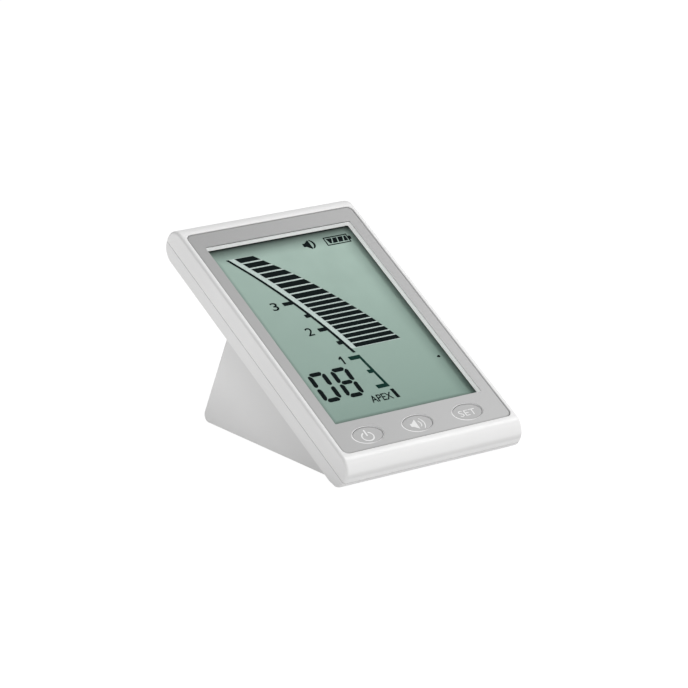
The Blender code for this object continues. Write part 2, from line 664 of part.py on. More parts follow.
def add_base_plate(rails):
    base = piece("base_plate", prism(round_rect(*PLATE, seg=3), BASE_Z, PLATE_TOP), STAND_WHITE)
    well = tool("battery_well", centred_box(*WELL))
    cut(well, "battery_well_inside", centred_box(OPENING_X, OPENING_Y, WELL_REAR_Y, 2.0, 11.0))
    boolean(base, well, "UNION")
    boolean(base, rails)
    cut(base, "battery_opening", centred_box(OPENING_X, OPENING_Y, WELL_REAR_Y, 2.2, 5.0))
    cut(base, "base_openings",
        *discs(BASE_SCREWS, BASE_HOLE_R, 0.0, 5.0, seg=12),
        *discs(FEET, FOOT_R + FOOT_FIT, 0.0, FOOT_POCKET_TOP, seg=20))
    cut(base, "base_counterbores", *discs(BASE_SCREWS, BASE_BORE_R, 0.0, BASE_BORE_TOP))


def add_feet():
    for i, centre in enumerate(FEET, 1):
        piece(f"rubber_foot_{i}", turned(centre, FOOT_PROFILE, seg=20), RUBBER)


def add_battery_door():
    """Sliding door with side tongues, trimmed to the stand's outline, with grip grooves below."""
    door = piece("battery_door", centred_box(DOOR_X, DOOR_Y, 46.0, -0.5, DOOR_TOP), STAND_WHITE)
    tongues = centred_box(RAIL_X, DOOR_Y + TONGUE_INSET, TONGUE_REAR_Y,
                          TONGUE_LOW, DOOR_TOP - TONGUE_INSET)
    boolean(door, tool("door_tongues", tongues), "UNION")
    boolean(door, tool("door_outline", wedge_solid()), "INTERSECT")
    starts = [GRIP_Y + GRIP_PITCH * i for i in range(5)]
    cut(door, "door_grip", *[centred_box(GRIP_X, y, y + GRIP_WIDTH, -1.0, BASE_Z + GRIP_DEPTH)
                             for y in starts])


def add_battery():
    levels = []
    for inset, z in ((BATTERY_EDGE, BATTERY_LOW), (0.0, BATTERY_LOW + BATTERY_EDGE),
                     (0.0, BATTERY_HIGH - BATTERY_EDGE), (BATTERY_EDGE, BATTERY_HIGH)):
        levels.append((round_rect(BATTERY_X - inset, BATTERY_FRONT + inset,
                                  BATTERY_REAR - inset, BATTERY_CORNER, seg=4), z))
    piece("battery_pack", stacked(levels), BLUE)


# --- leads ------------------------------------------------------------------
LEAD_R = 0.9
LEAD_END_Z = -4.9               # just below the board connector, in the unit's frame
LEAD_DROP = 11.0                # pull of the curve out of the display unit's back
# Name, x at the connector, start, first pull of the curve, finish.
LEADS = [
    ("battery_lead", 0.0, Vector((2.0, 2.0, BATTERY_HIGH + 0.3)), Vector((0, 0, 6.0)), BLUE),
    ("charge_lead", -5.0, CHARGE_POINT - REAR_OUT * 12.4, REAR_OUT * -9.0, BLACK),
    ("probe_lead", 5.0, Vector((STAND_X - 12.8, *PROBE_AT)), Vector((-8.0, 0, 0)), DARK),
]


def add_leads():
    """Leads from the battery and sockets through the cable slot to the board connector."""
    slot_y = (CABLE_SLOT[1] + CABLE_SLOT[2]) / 2
    backwards = UNIT_TO_WORLD.to_3x3() @ Vector((0, 0, -1))
    for name, x, start, pull, finish in LEADS:
        end = UNIT_TO_WORLD @ Vector((x, slot_y, LEAD_END_Z))
        controls = [start, start + pull, end + backwards * LEAD_DROP, end]
        piece(name, sweep(controls, LEAD_R), finish)


def build():
    remove_objects()
    unit = add_unit_frame()
    add_front_housing(unit)
    add_rear_housing(unit)
    add_front_panel(unit)
    add_lcd(unit)
    add_board(unit)
    add_keys(unit)
    add_screws("housing_screw", HOUSING_SCREWS, HOUSING_SCREW, unit)
    add_screws("stand_screw", STAND_SCREWS, STAND_SCREW, unit)
    rails = add_door_rails()
    add_stand_housing(unit, rails)
    add_sockets()
    add_base_plate(rails)
    add_screws("base_screw", BASE_SCREWS, BASE_SCREW)
    add_feet()
    add_battery_door()
    add_battery()
    add_leads()


build()
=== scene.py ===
"""Looks of a tabletop apex locator: shells, keys, LCD artwork, finishes, stage and camera.

A flat display unit with rounded ends leans back on a wedge stand. In the world frame x is across,
-y is the front and +z is up. The display unit has its own frame: x across, y up along its face and
z out of the face; UNIT tilts that frame back about x. Shapes are drawn in millimetres and scaled to
metres when they are finished.
"""

import math

import bmesh
import bpy
from mathutils import Matrix, Vector


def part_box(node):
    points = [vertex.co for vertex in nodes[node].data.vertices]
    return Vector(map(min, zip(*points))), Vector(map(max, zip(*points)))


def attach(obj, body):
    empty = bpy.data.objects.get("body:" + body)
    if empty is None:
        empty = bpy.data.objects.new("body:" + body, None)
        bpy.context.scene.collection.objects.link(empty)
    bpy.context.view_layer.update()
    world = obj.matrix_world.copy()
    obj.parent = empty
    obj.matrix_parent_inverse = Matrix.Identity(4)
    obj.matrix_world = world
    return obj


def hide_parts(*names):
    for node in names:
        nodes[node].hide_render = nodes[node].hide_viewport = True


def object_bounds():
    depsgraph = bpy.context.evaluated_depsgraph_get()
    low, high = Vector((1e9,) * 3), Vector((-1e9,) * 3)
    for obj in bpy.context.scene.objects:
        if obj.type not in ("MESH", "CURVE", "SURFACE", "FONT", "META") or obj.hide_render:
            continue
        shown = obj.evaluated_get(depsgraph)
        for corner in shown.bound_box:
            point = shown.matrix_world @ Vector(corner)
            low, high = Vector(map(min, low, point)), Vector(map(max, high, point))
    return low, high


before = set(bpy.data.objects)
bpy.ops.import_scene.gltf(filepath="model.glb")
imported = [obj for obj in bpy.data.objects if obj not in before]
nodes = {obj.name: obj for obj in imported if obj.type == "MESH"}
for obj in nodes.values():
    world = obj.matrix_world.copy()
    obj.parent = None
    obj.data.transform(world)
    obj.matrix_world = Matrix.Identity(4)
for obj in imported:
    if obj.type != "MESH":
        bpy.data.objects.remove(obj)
cad_low, cad_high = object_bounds()

MM = 0.001
TILT = math.radians(30.0)
UNIT_Z = (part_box("front_housing")[1].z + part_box("rear_housing")[0].z) / 2 / MM
UNIT = Matrix.Translation((0, 0, UNIT_Z)) @ Matrix.Rotation(TILT, 4, "X")
UNIT_INVERSE = UNIT.inverted()


def local_box(node):
    """Corners of a CAD node in the display unit's own frame, in millimetres."""
    points = [UNIT_INVERSE @ (v.co / MM) for v in nodes[node].data.vertices]
    return tuple(Vector([pick(p[axis] for p in points) for axis in range(3)]) for pick in (min, max))


def in_pairs(half_x, *ys):
    """Mirrored places at each y, the left one first."""
    return [(side * half_x, y) for y in ys for side in (-1, 1)]


FRONT_LOW, FRONT_HIGH = local_box("front_housing")
PANEL_LOW, PANEL_HIGH = local_box("front_panel")
LCD_TOP = local_box("lcd_front_glass")[1].z
KEYS = {}  # centre x, centre y and top z of each key
for key in ("power", "volume", "set"):
    low, high = local_box(key + "_button")
    KEYS[key] = ((low.x + high.x) / 2, (low.y + high.y) / 2, high.z)

# Display unit shells
HALF_X = FRONT_HIGH.x
END_R = FRONT_HIGH.z        # radius of the rounded ends
END_Y = 58.25               # centre of the rounded ends
SIDE_FILLET = 1.1
SEAM_FRONT = FRONT_LOW.z
SEAM_REAR = SEAM_FRONT - 0.2
WALL = 1.8
SHELL_SCREWS = in_pairs(33.5, -57.9, 57.9)
STAND_SCREWS = in_pairs(22.0, -34.0, 12.0)

# Face recess, window and key openings
RECESS_X, RECESS_Y, RECESS_FLOOR = 38.0, 58.0, 5.75
FACE_UNDER = 4.35           # underside of the front shell's face
FACE_CORNER = 2.5           # corner radius of the recess and of the overlay
WINDOW_X, WINDOW_LOW, WINDOW_HIGH = 33.1, -43.8, 50.8
PANEL_TOP, PANEL_UNDER = PANEL_HIGH.z, PANEL_LOW.z
PANEL_ROUND = 0.14          # rounding of the overlay's upper edge
KEY_X, KEY_Y = 6.8, 3.95    # half axes of the key openings in the shell
OPEN_X, OPEN_Y = KEY_X - 0.26, KEY_Y - 0.06     # the same in the overlay
KEY_ROLL, KEY_DROP = 0.40, 0.20                 # the overlay rolls down into each opening
KEY_SHIFT_X, KEY_SHIFT_Y = -0.20, -0.12


# --------------------------------------------------------------------------- mesh helpers
def spread(start, end, steps):
    """Evenly spaced values from start to end."""
    return [start + (end - start) * i / steps for i in range(steps + 1)]


def quarter(steps):
    """Quarter round of radius 1 as (inset, rise) pairs."""
    return [(1 - math.cos(angle), math.sin(angle)) for angle in spread(0.0, math.pi / 2, steps)]


def loft(loops):
    shape = bmesh.new()
    rings = [[shape.verts.new(point) for point in loop] for loop in loops]
    count = len(rings[0])
    for lower, upper in zip(rings, rings[1:]):
        for i in range(count):
            j = (i + 1) % count
            shape.faces.new((lower[i], lower[j], upper[j], upper[i]))
    shape.faces.new(list(reversed(rings[0])))
    shape.faces.new(rings[-1])
    bmesh.ops.recalc_face_normals(shape, faces=shape.faces[:])
    if shape.calc_volume(signed=True) < 0:
        bmesh.ops.reverse_faces(shape, faces=shape.faces[:])
    return shape


def level_loft(levels):
    """Loft through (z, outline) pairs."""
    return loft([[(x, y, z) for x, y in outline] for z, outline in levels])


def prism(outline, bottom, top):
    return level_loft([(bottom, outline), (top, outline)])


def rect(left, right, low, high):
    return [(left, low), (right, low), (right, high), (left, high)]


def box(left, right, low, high, bottom, top):
    return prism(rect(left, right, low, high), bottom, top)


def round_rect(left, right, low, high, radius, steps):
    corners = ((right - radius, low + radius, -90), (right - radius, high - radius, 0),
               (left + radius, high - radius, 90), (left + radius, low + radius, 180))
    return [(x + radius * math.cos(math.radians(turn)), y + radius * math.sin(math.radians(turn)))
            for x, y, start in corners for turn in spread(start, start + 90.0, steps)]


def centred_rect(half_x, half_y, radius, steps):
    return round_rect(-half_x, half_x, -half_y, half_y, radius, steps)


def ellipse(x, y, half_x, half_y, steps=96):
    turns = [2 * math.pi * i / steps for i in range(steps)]
    return [(x + half_x * math.cos(turn), y + half_y * math.sin(turn)) for turn in turns]


def turned(x, y, profile, steps=48):
    """Solid of revolution about an upright axis, from (radius, z) pairs."""
    return level_loft([(z, ellipse(x, y, radius, radius, steps)) for radius, z in profile])


def disc(x, y, radius, bottom, top, steps=32):
    return turned(x, y, [(radius, bottom), (radius, top)], steps)


def discs(places, radius, bottom, top, steps):
    return [disc(x, y, radius, bottom, top, steps) for x, y in places]


def run_x(outline, left, right):
    return loft([[(x, y, z) for y, z in outline] for x in (left, right)])


def run_y(outline, low, high):
    return loft([[(x, y, z) for x, z in outline] for y in (low, high)])


def joined(parts):
    whole = bmesh.new()
    for part in parts:
        mesh = bpy.data.meshes.new("part")
        part.to_mesh(mesh)
        part.free()
        whole.from_mesh(mesh)
        bpy.data.meshes.remove(mesh)
    return whole


def moved(shape, matrix):
    bmesh.ops.transform(shape, matrix=matrix, verts=shape.verts[:])
    return shape


def temp(shape):
    """A millimetre work object, to be cut with, cut or finished."""
    mesh = bpy.data.meshes.new("work")
    shape.to_mesh(mesh)
    shape.free()
    obj = bpy.data.objects.new("work", mesh)
    bpy.context.scene.collection.objects.link(obj)
    return obj


def evaluated_mesh(obj):
    bpy.context.view_layer.update()
    depsgraph = bpy.context.evaluated_depsgraph_get()
    return bpy.data.meshes.new_from_object(obj.evaluated_get(depsgraph))


def apply_modifiers(obj):
    mesh = evaluated_mesh(obj)
    old = obj.data
    obj.modifiers.clear()
    obj.data = mesh
    bpy.data.meshes.remove(old)


def cut(obj, cutter, operation="DIFFERENCE"):
    """Boolean with a shape or a work object, which is used up."""
    other = cutter if isinstance(cutter, bpy.types.Object) else temp(cutter)
    mod = obj.modifiers.new("cut", "BOOLEAN")
    mod.object = other
    mod.operation = operation
    mod.solver = "EXACT"
    apply_modifiers(obj)
    bpy.data.objects.remove(other, do_unlink=True)


def finish_piece(obj, name, mat, matrix=Matrix(), body="body", replaces=None, smooth=32.0,
                 bevel=0.0, bevel_angle=55.0):
    """Cleans a work object, puts it in the frame in metres and lets it ride on its body."""
    shape = bmesh.new()
    shape.from_mesh(obj.data)
    bmesh.ops.remove_doubles(shape, verts=shape.verts[:], dist=0.0005)
    bmesh.ops.dissolve_degenerate(shape, edges=shape.edges[:], dist=0.0005)
    if shape.calc_volume(signed=True) < 0:
        bmesh.ops.reverse_faces(shape, faces=shape.faces[:])
    moved(shape, Matrix.Scale(MM, 4) @ matrix)
    shape.to_mesh(obj.data)
    shape.free()
    obj.name = name
    obj.data.name = name
    if bevel:
        mod = obj.modifiers.new("edge_round", "BEVEL")
        mod.width = bevel * MM
        mod.segments = 3
        mod.limit_method = "ANGLE"
        mod.angle_limit = math.radians(bevel_angle)
        mod.use_clamp_overlap = True
        mod.miter_outer = "MITER_ARC"
        apply_modifiers(obj)
    obj.data.shade_smooth()
    obj.data.set_sharp_from_angle(angle=math.radians(smooth))
    normals = obj.modifiers.new("flat_faces_stay_flat", "WEIGHTED_NORMAL")
    normals.keep_sharp = True
    normals.weight = 90
    obj.data.materials.clear()
    obj.data.materials.append(mat)
    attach(obj, body)
    if replaces:
        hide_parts(replaces)


# --------------------------------------------------------------------------- node helpers
NOISE_SPAN = (0.3, 0.7)     # where most noise values lie
RISE, FALL = (0.0, 1.0), (1.0, 0.0)


class Field:
    """An output in a node tree; arithmetic and methods on it add the nodes that read it."""

    def __init__(self, graph, socket):
        self.graph = graph
        self.socket = socket

    def math(self, operation, *values):
        return self.graph.make("ShaderNodeMath", dict(enumerate(values)), operation=operation)

    def __add__(self, other):
        return self.math("ADD", self, other)

    def __sub__(self, other):
        return self.math("SUBTRACT", self, other)

    def __rsub__(self, other):
        return self.math("SUBTRACT", other, self)

    def __mul__(self, other):
        return self.math("MULTIPLY", self, other)

    def __truediv__(self, other):
        return self.math("DIVIDE", self, other)

    def __pow__(self, other):
        return self.math("POWER", self, other)

    def __abs__(self):
        return self.math("ABSOLUTE", self)

    def max(self, other):
        return self.math("MAXIMUM", self, other)

    def sqrt(self):
        return self.math("SQRT", self)

    def line(self, over=NOISE_SPAN, to=RISE, kind="LINEAR"):
        """Maps the span `over` to the span `to`, clamped at both ends."""
        return self.graph.make("ShaderNodeMapRange", {
            "Value": self, "From Min": over[0], "From Max": over[1],
            "To Min": to[0], "To Max": to[1]}, interpolation_type=kind)

    def ease(self, over=NOISE_SPAN, to=RISE):
        """Like line, with soft ends."""
        return self.line(over, to, "SMOOTHSTEP")

    def mix(self, first, second):
        """Colour between two others, with this value as the factor."""
        return self.graph.make("ShaderNodeMix", {0: self, 6: first, 7: second}, 2,
                               data_type="RGBA")

    def mapped(self, **inputs):
        return self.graph.make("ShaderNodeMapping", {"Vector": self, **inputs})

    def noise(self, scale, detail=3.0, rough=0.5):
        return self.graph.make("ShaderNodeTexNoise", {
            "Scale": scale, "Detail": detail, "Roughness": rough, "Vector": self}, "Fac")

    def voronoi(self, scale, feature="F1"):
        return self.graph.make("ShaderNodeTexVoronoi", {"Scale": scale, "Vector": self},
                               "Distance", feature=feature)

    def xyz(self):
        split = self.graph.make("ShaderNodeSeparateXYZ", {0: self})
        return [Field(self.graph, socket) for socket in split.socket.node.outputs]

    def bump(self, depth):
        """Normal from this value as a height, with the depth in millimetres."""
        return self.graph.make("ShaderNodeBump", {
            "Strength": 1.0, "Distance": depth * MM, "Height": self})


class Graph:
    """A new material and its node tree."""

    def __init__(self, name):
        self.mat = bpy.data.materials.new(name)
        self.mat.use_nodes = True
        self.tree = self.mat.node_tree
        self.tree.nodes.clear()
        self.out = self.tree.nodes.new("ShaderNodeOutputMaterial")

    def make(self, kind, inputs={}, output=0, **settings):
        """Adds a node with these inputs and settings and gives one of its outputs."""
        node = self.tree.nodes.new(kind)
        for name, value in settings.items():
            setattr(node, name, value)
        for name, value in inputs.items():
            self.put(value, node.inputs[name])
        return Field(self, node.outputs[output])

    def put(self, value, socket):
        if isinstance(value, Field):
            self.tree.links.new(value.socket, socket)
        elif isinstance(value, tuple) and socket.type == "RGBA":
            socket.default_value = (*value, 1.0)
        else:
            socket.default_value = value

    def coords(self, unit=False):
        """Object coordinates in millimetres, in the world frame or the display unit's."""
        place = self.make("ShaderNodeTexCoord", output="Object")
        if not unit:
            return place.mapped(Scale=(1 / MM,) * 3)
        place = place.mapped(Location=(0, 0, -UNIT_Z), Scale=(1 / MM,) * 3)
        return place.mapped(Rotation=(-TILT, 0, 0))

    def bsdf(self, color, rough, metal=0.0, normal=None, coat=0.0, coat_rough=0.1, specular=0.5,
             transmission=0.0, glow=None):
        inputs = {"Base Color": color, "Roughness": rough, "Metallic": metal, "IOR": 1.46,
                  "Specular IOR Level": specular, "Coat Weight": coat,
                  "Coat Roughness": coat_rough, "Transmission Weight": transmission}
        if normal:
            inputs["Normal"] = normal
        if glow:
            inputs |= {"Emission Color": (1.0, 1.0, 1.0), "Emission Strength": glow}
        return self.make("ShaderNodeBsdfPrincipled", inputs)

    def mix_shaders(self, factor, first, second):
        return self.make("ShaderNodeMixShader", {0: factor, 1: first, 2: second})

    def done(self, shader):
        self.put(shader, self.out.inputs["Surface"])
        return self.mat


def tone(color, factor):
    return tuple(channel * factor for channel in color)


def beyond(x, y, half_x, half_y):
    """Distance outside a centred rectangle."""
    out_x = (abs(x) - half_x).max(0.0)
    out_y = (abs(y) - half_y).max(0.0)
    return (out_x * out_x + out_y * out_y).sqrt()


# --------------------------------------------------------------------------- materials
WHITE = (0.83, 0.828, 0.826)
STAND_WHITE = (0.845, 0.843, 0.841)
GREY = (0.505, 0.505, 0.505)


def plastic(name, color, rough, texture=0.006, grain=5.0, coat=0.0, coat_rough=0.1, unit=False,
            extra=None):
    """Moulded plastic: faint tone drift, fine spark texture and slightly uneven gloss."""
    graph = Graph(name)
    place = graph.coords(unit)
    slow = place.noise(scale=0.03, detail=2.0)
    fine = place.noise(scale=grain, rough=0.6)
    color_drift = slow.ease().mix(tone(color, 0.98), tone(color, 1.02))
    paint = fine.ease(over=(0.35, 0.65), to=(0.0, 0.35)).mix(color_drift, tone(color, 0.97))
    scuff = place.noise(scale=0.35, detail=4.0, rough=0.65)
    gloss = scuff.ease(over=(0.3, 0.75), to=(rough - 0.03, rough + 0.06))
    normal = fine.bump(depth=texture)
    # An extra step may paint light and shade into the colour and add a glow.
    glow = None
    if extra:
        paint, glow = extra(place, paint)
    return graph.done(graph.bsdf(paint, gloss, normal=normal, coat=coat, coat_rough=coat_rough,
                                 glow=glow))


def painted_shell_light(place, paint):
    """Painted light and shade on the white shell: its window walls, the step down to the overlay and
    the bottom end.
    """
    x, y, z = place.xyz()
    # Painted light: the window walls are painted near-white and glow, standing in for light on them.
    across = abs(x).line(over=(33.3, 33.5), to=FALL)
    along_y = abs(y - (WINDOW_LOW + WINDOW_HIGH) / 2).line(over=(47.5, 47.7), to=FALL)
    deep = z.line(over=(RECESS_FLOOR + 0.02, RECESS_FLOOR + 0.10), to=FALL)
    walls = across * along_y * deep
    # Painted shade: the narrow step down to the overlay is painted darker, most on its right and top
    # sides.
    out = (abs(x) - RECESS_X).max(abs(y) - RECESS_Y)
    step = out.ease(over=(-1.2, -1.0)) * out.ease(over=(0.30, 0.42), to=FALL)
    step = step * z.line(over=(6.42, 6.72), to=FALL)
    lee = x.ease(over=(36.0, 37.0)).max(y.ease(over=(56.0, 57.0)))
    step = step * lee.line(over=(0.0, 1.0), to=(0.12, 0.55))
    paint = step.mix(paint, (0.40, 0.40, 0.40))
    # Painted light: the rounded bottom end is painted a touch brighter, and a painted reflection
    # lays a soft darker line along its lower part.
    end = y.ease(over=(-59.6, -58.6), to=FALL) * x.ease(over=(-39.7, -38.7))
    painted_end_light = (z.ease(over=(2.2, 3.4)) * z.ease(over=(5.7, 6.4), to=FALL)
            + z.ease(over=(0.5, 1.2), to=FALL))
    paint = (end * painted_end_light).mix(paint, (0.872, 0.870, 0.868))
    painted_end_reflection = z.ease(over=(0.9, 1.7)) * z.ease(over=(1.8, 3.0), to=FALL)
    paint = (end * painted_end_reflection).mix(paint, tone(WHITE, 0.915))
    # Painted light: the walls' glow, stronger at the right and left walls.
    glow = abs(x).ease(over=(32.2, 32.5), to=(0.09, 0.21))
    return walls.mix(paint, (0.95, 0.95, 0.945)), walls * glow


def wedge_shade(place, paint):
    """The stand's flanks lose light close to the display unit's back."""
    in_unit = place.mapped(Location=(0, 0, -UNIT_Z)).mapped(Rotation=(-TILT, 0, 0))
    z = in_unit.xyz()[2]
    return z.ease(over=(-30.0, -8.0)).mix(paint, tone(STAND_WHITE, 0.845)), None


def panel_material():
    """Satin printed overlay: even grey with a very fine texture, with painted shade, a painted edge
    shadow and painted highlights; its cut edges painted paler and glowing.
    """
    graph = Graph("panel_grey")
    place = graph.coords(unit=True)
    x, y, z = place.xyz()
    slow = place.noise(scale=0.02, detail=2.0)
    fine = place.noise(scale=9.0, detail=2.0, rough=0.6)
    paint = slow.ease().mix(tone(GREY, 0.985), tone(GREY, 1.015))
    # Painted shade: darker towards the upper left.
    paint = (y - x * 0.84).line(over=(-80.0, 85.0)).mix(paint, tone(GREY, 0.70))
    # Painted shadow: a thin darker line along the die-cut border, where the overlay meets the
    # shell's rim.
    reach = beyond(x, y, PANEL_HIGH.x - FACE_CORNER, PANEL_HIGH.y - FACE_CORNER)
    border = reach.line(over=(FACE_CORNER - 0.55, FACE_CORNER - 0.25), to=(0.0, 0.32))
    paint = border.mix(paint, tone(GREY, 0.45))
    # Painted highlight: the rolled rims of the key openings are painted pale on their lower left.
    for key_x, key_y, _ in KEYS.values():
        from_x = (x - key_x) / KEY_X
        from_y = (y - key_y) / KEY_Y
        rim_x = (x - (key_x + KEY_SHIFT_X)) / (OPEN_X + KEY_ROLL)
        rim_y = (y - (key_y + KEY_SHIFT_Y)) / (OPEN_Y + KEY_ROLL)
        out = (rim_x * rim_x + rim_y * rim_y).sqrt()
        side = from_x * -0.78 + from_y * -0.62
        rim = out.ease(over=(0.985, 1.02), to=FALL) * side.ease(over=(0.40, 0.90))
        paint = rim.mix(paint, (0.86, 0.86, 0.86))
    # Painted light: the cut walls of the openings are painted paler and glow a little.
    painted_key_wall_light = (z.ease(over=(PANEL_TOP - 0.17, PANEL_TOP - 0.07), to=FALL)
                * y.ease(over=(-57.0, -56.0)))
    painted_key_wall_light = painted_key_wall_light * (y.ease(over=(-47.0, -46.0), to=FALL)
                           * abs(x).ease(over=(36.0, 37.0), to=FALL))
    paint = painted_key_wall_light.mix(paint, (0.80, 0.80, 0.80))
    # Painted light: the overlay's cut edges from the key row up are painted paler and glow a little.
    edge = z.ease(over=(PANEL_TOP - PANEL_ROUND, PANEL_TOP - 0.05), to=FALL)
    edge = edge * (y.ease(over=(-47.0, -46.0)) * y.ease(over=(50.6, 50.3)))
    paint = edge.mix(paint, (0.88, 0.88, 0.875))
    return graph.done(graph.bsdf(paint, fine.ease(to=(0.40, 0.48)), normal=fine.bump(depth=0.003),
                                 glow=edge * 0.06 + painted_key_wall_light * 0.05))


def lcd_material():
    """Reflective LCD: grey-green, shaded along the window's walls."""
    graph = Graph("lcd_face")
    place = graph.coords(unit=True)
    x, y, z = place.xyz()
    paint = y.line(over=(-42.0, 42.0)).mix((0.266, 0.374, 0.325), (0.417, 0.543, 0.482))
    paint = x.line(over=(-31.0, 20.0), to=(0.30, 0.0)).mix(paint, (0.270, 0.362, 0.328))
    mottle = place.noise(scale=0.12)
    paint = mottle.ease(to=(0.0, 0.20)).mix(paint, (0.315, 0.410, 0.365))
    fine = place.noise(scale=6.0, detail=2.0)
    paint = fine.ease(to=(0.0, 0.06)).mix(paint, (0.26, 0.34, 0.30))
    right = x.line(over=(25.0, 34.0)) ** 1.3
    top = y.line(over=(42.6, 51.2)) ** 1.46
    left = x.line(over=(-29.1, -30.6), to=(0.0, 0.35))
    bottom = y.line(over=(-39.9, -42.2), to=(0.0, 0.75))
    shade = (right * 0.46).max(top * 0.95).max(left.max(bottom))
    paint = shade.mix(paint, (0.012, 0.018, 0.015))
    # The plate's cut edges are clear glass green.
    paint = z.ease(over=(LCD_TOP - 0.12, LCD_TOP - 0.02), to=FALL).mix(paint, (0.25, 0.36, 0.31))
    return graph.done(graph.bsdf(paint, mottle.ease(to=(0.40, 0.50)), specular=0.12))


def ink(name, color, rough=0.7, specular=0.0):
    """Flat ink with faint lighter speckle."""
    graph = Graph(name)
    fine = graph.coords(unit=True).noise(scale=4.0, detail=2.0)
    lighter = tuple(min(channel * 1.35 + 0.001, 0.84) for channel in color)
    return graph.done(graph.bsdf(fine.ease().mix(color, lighter), rough, specular=specular))


def clear_material():
    """Clear hard-coated window: shows what is behind it, with a painted reflection at low angles, a
    faint white glow.
    """
    graph = Graph("clear_window")
    fine = graph.coords(unit=True).noise(scale=2.0, detail=2.0)
    fresnel = graph.make("ShaderNodeFresnel", {"IOR": 1.35})
    backfacing = graph.make("ShaderNodeNewGeometry", output="Backfacing")
    shadow_ray = graph.make("ShaderNodeLightPath", output="Is Shadow Ray")
    seen = (1.0 - backfacing) * (1.0 - shadow_ray)
    clear = graph.make("ShaderNodeBsdfTransparent", {0: (0.985, 0.99, 0.988)})
    # Painted reflection: a faint white glow that rises with the fresnel term.
    painted_reflection = graph.make("ShaderNodeEmission", {
        "Color": (0.98, 1.0, 1.0), "Strength": fine.ease(to=(0.75, 0.85))})
    return graph.done(graph.mix_shaders(fresnel * 0.10 * seen, clear, painted_reflection))


def rubber(name, color, rough=0.8):
    graph = Graph(name)
    fine = graph.coords().noise(scale=3.0, detail=4.0, rough=0.65)
    paint = fine.ease().mix(tone(color, 0.8), tone(color, 1.2))
    return graph.done(graph.bsdf(paint, fine.ease(to=(rough - 0.08, rough + 0.08)),
                                 normal=fine.bump(depth=0.03), specular=0.3))


def metal(name, color, rough=0.28):
    """Plated or plain metal with fine turning marks."""
    graph = Graph(name)
    place = graph.coords()
    marks = place.mapped(Scale=(1.0, 1.0, 12.0)).noise(scale=2.5)
    spots = place.noise(scale=0.9)
    paint = spots.ease(over=(0.35, 0.7)).mix(color, tone(color, 0.82))
    return graph.done(graph.bsdf(paint, marks.ease(to=(rough - 0.06, rough + 0.12)), metal=1.0,
                                 normal=marks.bump(depth=0.008)))


def board_material():
    """Green solder mask with tracks and plated vias."""
    graph = Graph("circuit_board")
    place = graph.coords(unit=True)
    cells = place.voronoi(scale=0.16, feature="DISTANCE_TO_EDGE")
    track = cells.ease(over=(0.03, 0.05), to=FALL)
    via = place.voronoi(scale=0.22).ease(over=(0.07, 0.09), to=FALL)
    paint = track.mix((0.010, 0.120, 0.045), (0.030, 0.220, 0.085))
    paint = via.mix(paint, (0.62, 0.52, 0.26))
    return graph.done(graph.bsdf(paint, track.ease(over=(0, 1), to=(0.34, 0.26)),
                                 metal=via * 0.9, normal=track.bump(depth=0.03), coat=0.3))


def wrap_material():
    """Shrink wrap with faint creases."""
    graph = Graph("battery_wrap")
    crease = graph.coords().noise(scale=0.5, detail=4.0, rough=0.6)
    paint = crease.ease(over=(0.35, 0.7)).mix((0.030, 0.11, 0.33), (0.045, 0.15, 0.42))
    return graph.done(graph.bsdf(paint, crease.ease(to=(0.2, 0.34)),
                                 normal=crease.bump(depth=0.12)))


def rear_glass():
    graph = Graph("lcd_glass")
    haze = graph.coords(unit=True).noise(scale=0.3, detail=2.0)
    paint = haze.ease().mix((0.55, 0.62, 0.58), (0.60, 0.67, 0.63))
    return graph.done(graph.bsdf(paint, haze.ease(to=(0.06, 0.12)), transmission=0.4))


m_front = plastic("white_shell", WHITE, rough=0.48, unit=True, coat=0.10, coat_rough=0.15,
                  extra=painted_shell_light)
m_rear = plastic("rear_shell_white", (0.82, 0.818, 0.816), rough=0.48, unit=True, coat=0.10,
                 coat_rough=0.15)
m_stand = plastic("stand_white", STAND_WHITE, rough=0.42, extra=wedge_shade)
m_base = plastic("base_white", (0.76, 0.758, 0.755), rough=0.46, texture=0.01)
m_door = plastic("door_white", (0.77, 0.768, 0.765), rough=0.44, texture=0.01)
m_key = plastic("key_grey", (0.455, 0.455, 0.455), rough=0.42, texture=0.004, grain=7.0, unit=True)
m_panel = panel_material()
m_lcd = lcd_material()
m_black = ink("lcd_segment_black", (0.0045, 0.0080, 0.0085))
m_pale = ink("lcd_pale_band", (0.47, 0.545, 0.52), rough=0.5, specular=0.1)
m_green = ink("lcd_segment_green", (0.0060, 0.0300, 0.0230))
m_white_ink = ink("white_print", (0.80, 0.80, 0.80), rough=0.5, specular=0.3)
m_clear = clear_material()
m_rubber = rubber("foot_rubber", (0.045, 0.045, 0.047))
m_strip = rubber("elastomer", (0.035, 0.035, 0.038), rough=0.6)
m_lead = rubber("lead_sleeve", (0.025, 0.025, 0.028), rough=0.5)
m_steel = metal("screw_steel", (0.62, 0.62, 0.63))
m_brass = metal("buzzer_brass", (0.72, 0.54, 0.26), rough=0.32)
m_board = board_material()
m_wrap = wrap_material()
m_cream = plastic("cream_plastic", (0.68, 0.65, 0.56), rough=0.45)
m_socket = plastic("socket_black", (0.022, 0.022, 0.024), rough=0.30, grain=4.0, coat=0.15)
m_chip = plastic("black_epoxy", (0.018, 0.018, 0.019), rough=0.5, texture=0.015)
m_switch = plastic("switch_dark", (0.035, 0.035, 0.038), rough=0.45)


# --------------------------------------------------------------------------- display unit shells
def stadium(radius, bottom, top, steps):
    """(y, z) section with round ends, trimmed at bottom and top."""
    angles = spread(math.asin(bottom / radius), math.asin(top / radius), steps)
    right = [(END_Y + radius * math.cos(angle), radius * math.sin(angle)) for angle in angles]
    return right + [(-y, z) for y, z in reversed(right)]


